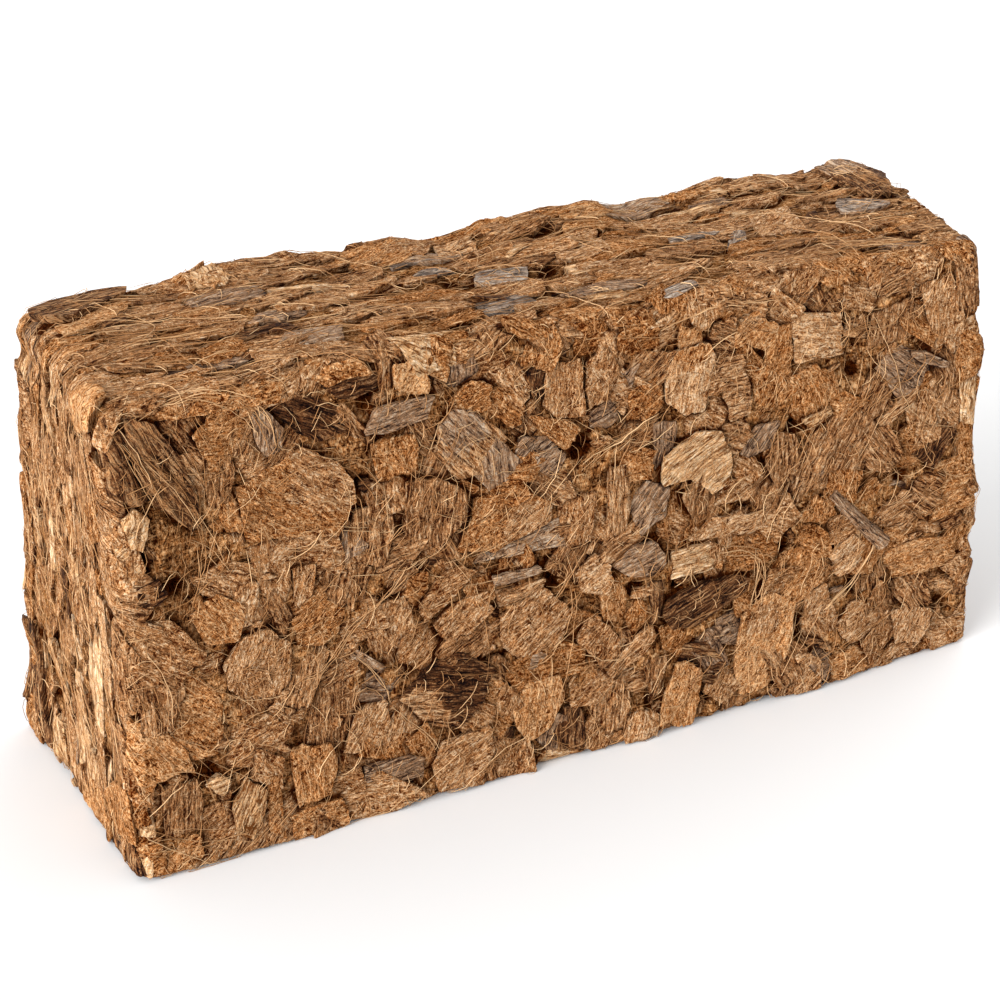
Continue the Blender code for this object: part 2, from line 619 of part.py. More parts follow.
def build_block():
    """The packed mass with its fused chips and the seats of the chips that stand out."""
    block = packed_mass()
    fused = helpers("fused_chips")
    seats = helpers("seats")
    for side, face in FACES.items():
        for number, chip in enumerate(scattered_chips(side)):
            depth = CHIP_DEPTH + BACK_STEP * (number % BACK_STEPS)
            add_helper(fused, plate(chip.name, face, chip.outline, chip.lift, chip.slope, depth))
        for chip in STANDOUT_CHIPS.get(side, []):
            add_helper(seats, plate(
                f"{chip.name}_seat", face, grown(chip.outline, SEAT_GAP), SEAT_REACH, (0, 0),
                CHIP_DEPTH + SEAT_GAP, waisted=True))
    add_helper(seats, grey_twig("grey_twig_seat", SEAT_GAP))
    add_boolean(block, "UNION", fused)
    add_boolean(block, "DIFFERENCE", seats)
    flat_faces = block.modifiers.new("flat_faces", "DECIMATE")
    flat_faces.decimate_type = "DISSOLVE"
    flat_faces.angle_limit = FLAT_ENOUGH
    return shown(block, "packed_husk")


def grey_twig(name, extra):
    """The twig, or with some extra width and length the seat that it lies in."""
    start = on_face(FACES["front"], *TWIG_TOP, TWIG_LIFT) * MM
    end = on_face(FACES["front"], *TWIG_FOOT, TWIG_LIFT) * MM
    reach = (end - start).normalized() * extra * MM
    return rod(name, start - reach, end + reach, TWIG_RADII[0] + extra, TWIG_RADII[1] + extra)


def build_standout_chips():
    for side, chips in STANDOUT_CHIPS.items():
        for chip in chips:
            piece = plate(
                chip.name, FACES[side], chip.outline, chip.lift, chip.slope, CHIP_DEPTH, CHIP_CROWN,
                waisted=True)
            shown(piece, chip.tone)
    shown(grey_twig("grey_twig", 0), "grey_bark")


def main():
    for item in list(bpy.data.objects):
        bpy.data.objects.remove(item)
    build_block()
    build_standout_chips()


main()
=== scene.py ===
"""Coconut coir bale: the looks of the pressed brick of husk chips and coir fibre.

Every chip is a rough plate with ribs along its grain and frayed ends. The chips that stand out
replace their own solids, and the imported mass, the fused chips, the crumbs and the loose fibres
replace the block. Lengths are millimetres, and become metres where a mesh is made. Angles of the
grain are degrees on the face, counted from its u axis.
"""

import math
import random
from collections import namedtuple

import bpy
import numpy as np
from mathutils import Matrix, Vector


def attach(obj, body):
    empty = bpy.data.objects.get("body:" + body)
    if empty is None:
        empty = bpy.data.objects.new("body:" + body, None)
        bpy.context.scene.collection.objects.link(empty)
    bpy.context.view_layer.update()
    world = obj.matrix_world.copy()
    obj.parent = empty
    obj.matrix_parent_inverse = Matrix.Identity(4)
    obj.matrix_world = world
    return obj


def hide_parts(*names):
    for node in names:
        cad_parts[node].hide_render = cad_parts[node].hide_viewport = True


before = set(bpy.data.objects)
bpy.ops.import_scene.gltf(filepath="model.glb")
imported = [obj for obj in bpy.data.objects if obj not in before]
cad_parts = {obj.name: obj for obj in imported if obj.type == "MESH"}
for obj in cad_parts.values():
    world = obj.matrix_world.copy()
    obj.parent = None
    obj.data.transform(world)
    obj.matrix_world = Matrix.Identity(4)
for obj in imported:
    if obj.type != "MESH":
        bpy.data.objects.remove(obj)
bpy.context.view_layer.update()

MM = 0.001
TINY = 1e-9

# The pressed brick, as in the solids
LENGTH = 200.0
DEPTH = 58.0
HEIGHT = 100.0
EDGE_RADIUS = 6.0

# The power of an edge's rounding: 2 is a circle, and more is squarer. The edges round the near upper
# corner are worn, and the others are crisp
CRISP_POWER = 8.0
WORN_POWER = 3.0

# How far each corner was pushed out of square in the press: left or right, front or back, low or high
CORNER_PUSH = {
    ("left", "front", "low"): (-1.5, -5.4, 0.0),
    ("left", "back", "low"): (-2.0, 3.6, 0.0),
    ("right", "front", "low"): (3.6, 0.6, 0.0),
    ("right", "back", "low"): (0.0, 0.0, 0.0),
    ("left", "front", "high"): (-2.5, 2.1, 2.5),
    ("left", "back", "high"): (0.7, 0.1, 0.6),
    ("right", "front", "high"): (-2.2, 2.1, 0.3),
    ("right", "back", "high"): (1.8, -1.9, -1.2),
}

# Rise and fall of the top's rear edge along the brick: x, then the rise
REAR_EDGE = (
    (-100, -2.2), (-94, -1.8), (-80, -1.2), (-76, -0.9), (-67, 0.6), (-58, 2.9), (-52, 2.9),
    (-47, 2.2), (-42, 2.3), (-38, 0.7), (-29, -0.8), (-18, 0.4), (-8, -1.5), (3, 1.7),
    (13, 2.4), (22, 2.8), (29, 2.8), (36, 0.2), (43, 0.8), (48, 0.3), (58, 0.8), (71, 1.0),
    (82, -1.0), (92, 1.0), (100, 0.6),
)

# How far the front's foot bulges forward: x, then the bulge
FRONT_FOOT = (
    (-100, 0), (-84, 1.0), (-66, 1.4), (-50, 0.6), (-20, 0.6), (-5, 0.2), (4, 1.6), (14, 3.0),
    (24, 2.2), (38, 1.4), (54, 2.6), (66, 2.2), (74, 1.0), (100, 1.2),
)

# How far the upright edges bulge outwards: the height, then the bulge
RIGHT_EDGE = (
    (0, 0.3), (12, 1.2), (16, 0.8), (24, 1.7), (27.5, 0.5), (31, 2.2), (36, 2.0), (43, 0.6),
    (55, 0.1), (66, 0.3), (70, 1.9), (74, 2.3), (79, 0.9), (86, 0.3), (95, 0),
)
LEFT_EDGE = (
    (0, 1.4), (4, 2.0), (8, 1.0), (14, -0.5), (20, -1.2), (26, 0), (45, 0), (58, 0.8), (67, 1.2),
    (76, 1.1), (82, 0.5), (88, 0.9), (92, -0.9), (96, 0.5), (100, 0),
)

# Slow swell of the pressed faces: its height, and the lengths over which it comes and goes
SWELL = 0.45
SWELL_LONG = 14.0
SWELL_SHORT = 11.0

Face = namedtuple("Face", "origin u_axis v_axis normal u_span v_span")
X_AXIS, Y_AXIS, Z_AXIS = np.eye(3)
ALONG = (-LENGTH / 2, LENGTH / 2)
ACROSS = (-DEPTH / 2, DEPTH / 2)
UP = (0.0, HEIGHT)
FACES = {
    "front": Face(-Y_AXIS * DEPTH / 2, X_AXIS, Z_AXIS, -Y_AXIS, ALONG, UP),
    "back": Face(Y_AXIS * DEPTH / 2, X_AXIS, Z_AXIS, Y_AXIS, ALONG, UP),
    "left": Face(-X_AXIS * LENGTH / 2, Y_AXIS, Z_AXIS, -X_AXIS, ACROSS, UP),
    "right": Face(X_AXIS * LENGTH / 2, Y_AXIS, Z_AXIS, X_AXIS, ACROSS, UP),
    "top": Face(Z_AXIS * HEIGHT, X_AXIS, Y_AXIS, Z_AXIS, ALONG, ACROSS),
    "base": Face(Z_AXIS * 0, X_AXIS, Y_AXIS, -Z_AXIS, ALONG, ACROSS),
}

# A chip has a name, its tone, its shade from -1 dark to 1 light, its grain, its outline on the face,
# the lift of its middle, and its slope along u and v, which may be left out where it is level
Chip = namedtuple("Chip", "name tone shade grain outline lift slope", defaults=[(0, 0)])

FRONT_CHIPS = [
    # Upper left, by the corner
    Chip("corner_bark_fold", "grey_bark", -0.3, 95,
         [(-99.5, 95), (-97, 97.5), (-95.6, 91), (-95.2, 84), (-99, 82)], 0.5),
    Chip("long_dark_wedge_chip", "dark_bark", 0.7, -60,
         [(-94.3, 97), (-88.5, 95.5), (-84, 88), (-81, 74), (-83.5, 72.5), (-90.5, 79.5),
          (-93.8, 88)], 0.7, (0.02, 0.02)),
    Chip("folded_grey_bark_chip", "grey_bark", 0.1, 85,
         [(-70, 95), (-66, 94), (-63.5, 90), (-64, 86), (-67.5, 84.5), (-69, 88)], 0.8, (0.03, 0)),
    Chip("broad_rust_chip", "orange_pith", 0.0, -38,
         [(-74, 79.5), (-66.5, 82.5), (-60, 85.5), (-53, 81), (-50, 76), (-50, 71), (-54, 64.5),
          (-61, 66.5), (-73, 68)], 0.5, (0, 0.02)),
    Chip("pale_splinter_chip", "pale_straw", -0.5, 75,
         [(-97, 78), (-94.5, 80), (-92, 77), (-94, 70.5), (-96, 72)], 0.8, (0.02, 0)),
    Chip("slate_scrap_chip", "dark_bark", -0.8, 20,
         [(-96, 64), (-92, 65), (-90, 61.5), (-92, 59.5), (-96, 60)], 0.7, (0, 0.05)),
    # Upper middle
    Chip("grey_slab_chip", "grey_bark", 0.1, 8,
         [(-44.5, 90), (-31.5, 89.8), (-33.5, 85.5), (-42, 84.2), (-47, 85.2)], 0.9, (0, 0.05)),
    Chip("ribbed_orange_chip", "orange_pith", 0.1, 88,
         [(-46, 83), (-36, 82.6), (-36, 75), (-45, 74)], 0.3, (0.02, 0.04)),
    Chip("brown_fibrous_chip", "brown_husk", 0.5, -50,
         [(-27, 86), (-23.5, 85), (-15.5, 78), (-22, 71), (-28, 71), (-32, 77),
          (-31, 83)], 0.5, (-0.03, 0)),
    Chip("small_rust_chip", "orange_pith", -0.2, -40,
         [(-24, 88.2), (-15, 89), (-11.5, 83.5), (-13.2, 79.6), (-15, 79.5),
          (-22.4, 86)], 0.3, (0.03, 0.02)),
    Chip("light_tan_chip", "tan_pith", -0.1, 80,
         [(-6, 91), (2, 92), (2, 79), (-4, 79.5), (-7.5, 83)], 0.5, (0.02, 0)),
    Chip("ridged_brown_chip", "brown_husk", 0.1, 90,
         [(-50, 69), (-41.7, 70), (-41.7, 64), (-44, 55.5), (-51.5, 57.5), (-52, 63.5)], 0.2, (0.03, 0)),
    Chip("red_brown_chip", "brown_husk", -0.1, 85,
         [(-39.5, 73), (-32, 72.5), (-29, 70), (-26.5, 68.5), (-26, 62), (-31.5, 57.5), (-38, 56.5),
          (-40.4, 63)], 0.5, (0.02, 0.03)),
    Chip("slanted_orange_chip", "orange_pith", 0.0, 35,
         [(-24.3, 66), (-12, 66), (-6.5, 61), (-7, 57.5), (-20, 53.5), (-29, 55.5),
          (-24.8, 61.5)], 0.4, (0.01, -0.04)),
    Chip("upright_tan_chip", "tan_pith", -0.2, 80,
         [(-5.5, 62), (4, 62), (2, 50.5), (-4, 50.5)], 0.3, (0.04, 0)),
    # Upper right
    Chip("tall_tan_chip", "tan_pith", 0.8, 75,
         [(24, 89.5), (31, 90), (33, 86), (31, 79), (29, 74), (24, 74.5), (20.5, 78),
          (21, 85)], 0.7, (0, 0.02)),
    Chip("ribbed_grey_chip", "brown_husk", 0.4, 5,
         [(34.3, 86), (39.5, 86), (40, 78), (40, 71.5), (35.5, 70.5), (33.8, 78)], 0.5, (0.04, 0)),
    Chip("upper_orange_chip", "orange_pith", 0.4, 40,
         [(37, 91), (43, 95), (48, 90), (47, 84), (41, 87.2), (37.5, 87.5)], 0.6, (0, 0.03)),
    Chip("palest_chip", "pale_straw", -0.1, 28,
         [(20, 66), (27, 70), (33, 69), (36.5, 62.2), (36, 56), (32, 54.5), (26, 60),
          (19, 59.5)], 0.9, (0, 0.02)),
    Chip("violet_grey_chip", "grey_bark", -0.1, 55,
         [(42, 68), (48, 68), (46, 62), (40.4, 60.8), (38.5, 62.6)], 0.4, (-0.03, 0.03)),
    Chip("upright_plank_chip", "brown_husk", 0.4, 88,
         [(7, 67), (11, 66), (12, 58), (10, 50.5), (5, 50.5), (6, 58)], 0.5, (0.03, 0)),
    Chip("square_tan_chip", "tan_pith", 0.7, -12,
         [(51, 92), (64, 90), (64, 80), (52, 80.5)], 0.6, (-0.01, 0.03)),
    Chip("oval_brown_chip", "brown_husk", -0.4, 70,
         [(70, 75), (74, 74), (76, 70), (75, 65), (70.5, 62), (67, 67), (68, 72)], 0.5, (0.02, 0)),
    Chip("grey_sliver_chip", "grey_bark", -0.1, -25,
         [(81, 78), (85, 77), (90, 73.6), (90, 72), (86, 73), (81, 76.2)], 0.9, (0, 0.04)),
    Chip("tall_right_chip", "tan_pith", 0.2, 80,
         [(85, 92.5), (93, 94.5), (95.8, 85), (95.6, 76), (91.2, 75), (87, 82)], 0.4, (0.02, 0)),
    # Lower left
    Chip("round_tan_chip", "tan_pith", 0.1, 72,
         [(-80, 44), (-76, 48.5), (-70, 49.5), (-65.5, 45), (-66, 37), (-69, 34.5), (-75, 36),
          (-79, 38.5)], 0.5, (0, 0.03)),
    Chip("ridged_bark_chip", "brown_husk", -0.1, 80,
         [(-94, 20), (-86.5, 20), (-85.5, 14), (-87, 9), (-94, 9)], 0.4, (-0.03, 0)),
    Chip("pale_triangle_chip", "pale_straw", -1.0, 65,
         [(-76.5, 18), (-79.5, 12), (-79.5, 6), (-76, 4), (-73, 9), (-72, 14)], 0.7, (0.03, 0)),
    Chip("rust_column_chip", "orange_pith", 0.3, 95,
         [(-67, 22), (-58, 21), (-56.5, 15), (-59, 9), (-66, 8)], 0.5, (0.03, 0)),
    Chip("tan_ledge_chip", "tan_pith", 0.3, 60,
         [(-55.2, 17), (-52, 26.5), (-45, 26.8), (-44.5, 21), (-48, 15.5)], 0.4, (0, 0.04)),
    # Lower middle
    Chip("two_tone_bark_chip", "dark_bark", -0.4, -18,
         [(-42.5, 26), (-37, 31), (-29, 33), (-20.5, 27), (-24, 20), (-29.5, 15),
          (-37, 18.5)], 0.8, (0.02, 0.02)),
    Chip("mottled_grey_chip", "grey_bark", -0.3, 5,
         [(-51, 13), (-41, 12.5), (-37.5, 11), (-38, 7), (-46, 7), (-51, 9)], 0.4, (0, 0.04)),
    Chip("light_lower_chip", "tan_pith", 0.2, 25,
         [(-33, 13.2), (-22.5, 14), (-21, 9), (-25, 1.8), (-35, 2.8), (-35.8, 8)], 0.5, (0, 0.02)),
    Chip("round_orange_chip", "orange_pith", 0.6, 80,
         [(-17, 18), (-13, 21), (-5, 21), (-4, 15.5), (-8, 9), (-13, 7), (-16, 10)], 0.6, (0.03, 0.02)),
    Chip("dark_stub_chip", "dark_bark", 0.2, 85,
         [(-4.4, 12.6), (-2, 13), (0, 11), (0, 2.8), (-5.8, 3.2), (-6.4, 8.2)], 0.5, (0, -0.03)),
    Chip("cross_fibre_chip", "tan_pith", 0.1, 40,
         [(-19.5, 38), (-9, 42.5), (-2.5, 35), (-5, 28.5), (-13.5, 26),
          (-18.5, 30.5)], 0.5, (0.01, 0.02)),
    Chip("grey_slat_chip", "grey_bark", 0.4, 3,
         [(-21, 47.5), (-10, 48), (-9, 45.9), (-20, 45.2)], 0.7, (0, 0.05)),
    # Lower right
    Chip("dark_bark_boat_chip", "dark_bark", 0.1, 20,
         [(18, 30.5), (20, 33), (27, 35), (36, 34.3), (40, 33), (39, 29.7), (32, 27.5), (27, 24.8),
          (21, 25.5)], 0.8, (0, 0.05)),
    Chip("rose_grey_chip", "grey_bark", 0.1, 15,
         [(7, 44), (12, 48), (17, 47.5), (19.5, 44), (19.3, 41.5), (15, 39.5),
          (10, 41)], 0.5, (0.03, 0.03)),
    Chip("straw_chip", "pale_straw", 0.0, 3,
         [(21.2, 44), (26, 44.2), (32.5, 43), (31, 37.2), (20.7, 37.7)], 0.7, (0, 0.04)),
    Chip("grey_bow_chip", "grey_bark", -0.4, -60,
         [(25, 19), (30, 23), (33, 23), (33.2, 19), (35.6, 13), (33, 11.3), (30, 12.3),
          (29, 16)], 0.5, (0.04, 0)),
    Chip("tombstone_chip", "orange_pith", 0.6, 82,
         [(22.3, 16.3), (25, 17.2), (28.2, 14), (28, 7), (26, 1.8), (17.5, 3),
          (19.2, 9)], 0.5, (0.03, 0.02)),
    Chip("slanted_plank_chip", "tan_pith", 0.3, 42,
         [(5, 19.3), (12, 25.8), (16.5, 28), (17.5, 25), (14, 21.2), (8.3, 17.9)], 0.5, (-0.02, 0.03)),
    Chip("golden_felt_chip", "orange_pith", 0.8, 70,
         [(38, 24), (46, 28), (52, 24), (50.5, 12.5), (45.5, 4.5), (38.5, 3.5),
          (36.9, 12)], 0.3, (0, 0.02)),
    Chip("small_square_chip", "tan_pith", 0.6, 30,
         [(60, 32.5), (66.5, 36.5), (70.6, 31.6), (70.2, 27.5), (64, 26.5)], 0.7, (0, 0.03)),
    Chip("long_rust_chip", "orange_pith", 0.5, 2,
         [(76.4, 29.3), (85, 31), (94.3, 29.3), (96.2, 21.8), (88, 21.2), (78.5, 22),
          (76.6, 25)], 0.3, (0.01, 0.05)),
    Chip("light_orange_chip", "tan_pith", 0.5, 60,
         [(78, 14), (84, 14), (89, 11.8), (89, 7.2), (86, 4.5), (80, 5.5)], 0.5, (0.03, 0)),
]

TOP_CHIPS = [
    Chip("overhanging_dark_chip", "dark_bark", 0.7, 6,
         [(-98.8, 23.5), (-91.4, 25.8), (-83.9, 26.7), (-77.3, 25.5), (-78.7, 22.6), (-84.1, 19.4),
          (-93.2, 13.4), (-97.1, 15.2), (-99.5, 19.5)], 2.2),
    Chip("pale_beige_chip", "pale_straw", -0.3, 85,
         [(-66.5, 20), (-65.5, 25.4), (-58.5, 26), (-57.5, 20), (-59.5, 16.5)], 1.2, (0, 0.04)),
    Chip("silver_left_chip", "grey_bark", 0.3, 12,
         [(-59, -16), (-56, -10.5), (-44, -12.5), (-46, -19), (-55, -18.5)], 0.7, (0, -0.03)),
    Chip("silver_middle_chip", "grey_bark", 0.6, -25,
         [(-10.5, -1), (-8, 4.5), (2, 0.2), (0, -6), (-8, -4.3)], 0.8, (0, -0.03)),
    Chip("silver_strip_chip", "grey_bark", 0.4, 4,
         [(36, 0), (37, 3.6), (47, 4), (50, 2), (46, -1), (38, -0.6)], 0.7, (0, -0.04)),
    Chip("silver_front_chip", "grey_bark", 0.7, 8,
         [(19.8, -24), (24, -21.8), (31.5, -21), (31.8, -24), (25, -26.3), (20.5, -26)], 0.5, (0.01, 0)),
    Chip("silver_right_chip", "grey_bark", 0.8, -38,
         [(80.5, 3.5), (82.8, 8.2), (87.5, 4.4), (92.6, 0.2), (91.5, -1.7), (86, -2.3),
          (80, 0)], 0.9, (0, -0.03)),
    Chip("curled_bark_chip", "dark_bark", 0.6, 97,
         [(86.6, 25), (95.6, 25.4), (98.2, 15.4), (94.8, 3), (89, 5.2), (87.4, 15.4)], 1.6, (0, 0.02)),
]

LEFT_CHIPS = [
    Chip("pale_end_strip", "pale_straw", 0.2, 95,
         [(-14, 50), (-11, 40), (-9.2, 35), (-11, 24), (-15, 24), (-14.6, 34), (-18, 46)], 0.5),
    Chip("rust_end_fold", "orange_pith", 0.1, 80,
         [(-14.5, 12), (-20, 17.5), (-27, 20.5), (-27.5, 9), (-20, 6.5)], 0.5, (-0.03, 0)),
]

STANDOUT_CHIPS = {"front": FRONT_CHIPS, "top": TOP_CHIPS, "left": LEFT_CHIPS}

# A second tone on part of a chip: the tone, its shade, and its centre and radius on the face
Patch = namedtuple("Patch", "tone shade centre radius")
PATCHES = {
    "corner_bark_fold": Patch("dark_bark", 0.4, (-97, 89), 12),
    "two_tone_bark_chip": Patch("brown_husk", 0.5, (-39, 19), 8.5),
    "tall_tan_chip": Patch("orange_pith", 0.2, (27, 90), 5),
    "broad_rust_chip": Patch("tan_pith", 0.0, (-55, 79), 9),
    "slanted_orange_chip": Patch("tan_pith", 0.1, (-12, 57), 6.5),
    "golden_felt_chip": Patch("tan_pith", 0.1, (44, 22), 5),
    "curled_bark_chip": Patch("grey_bark", 0.0, (92, 26), 8),
    "brown_fibrous_chip": Patch("grey_bark", 0.2, (-26, 82), 6),
    "silver_middle_chip": Patch("silver_bark", 0.0, (-4, -1), 12),
    "silver_strip_chip": Patch("silver_bark", 0.1, (43, 1), 12),
    "silver_front_chip": Patch("silver_bark", 0.3, (26, -24), 12),
    "silver_right_chip": Patch("silver_bark", 0.0, (86, 2), 12),
}

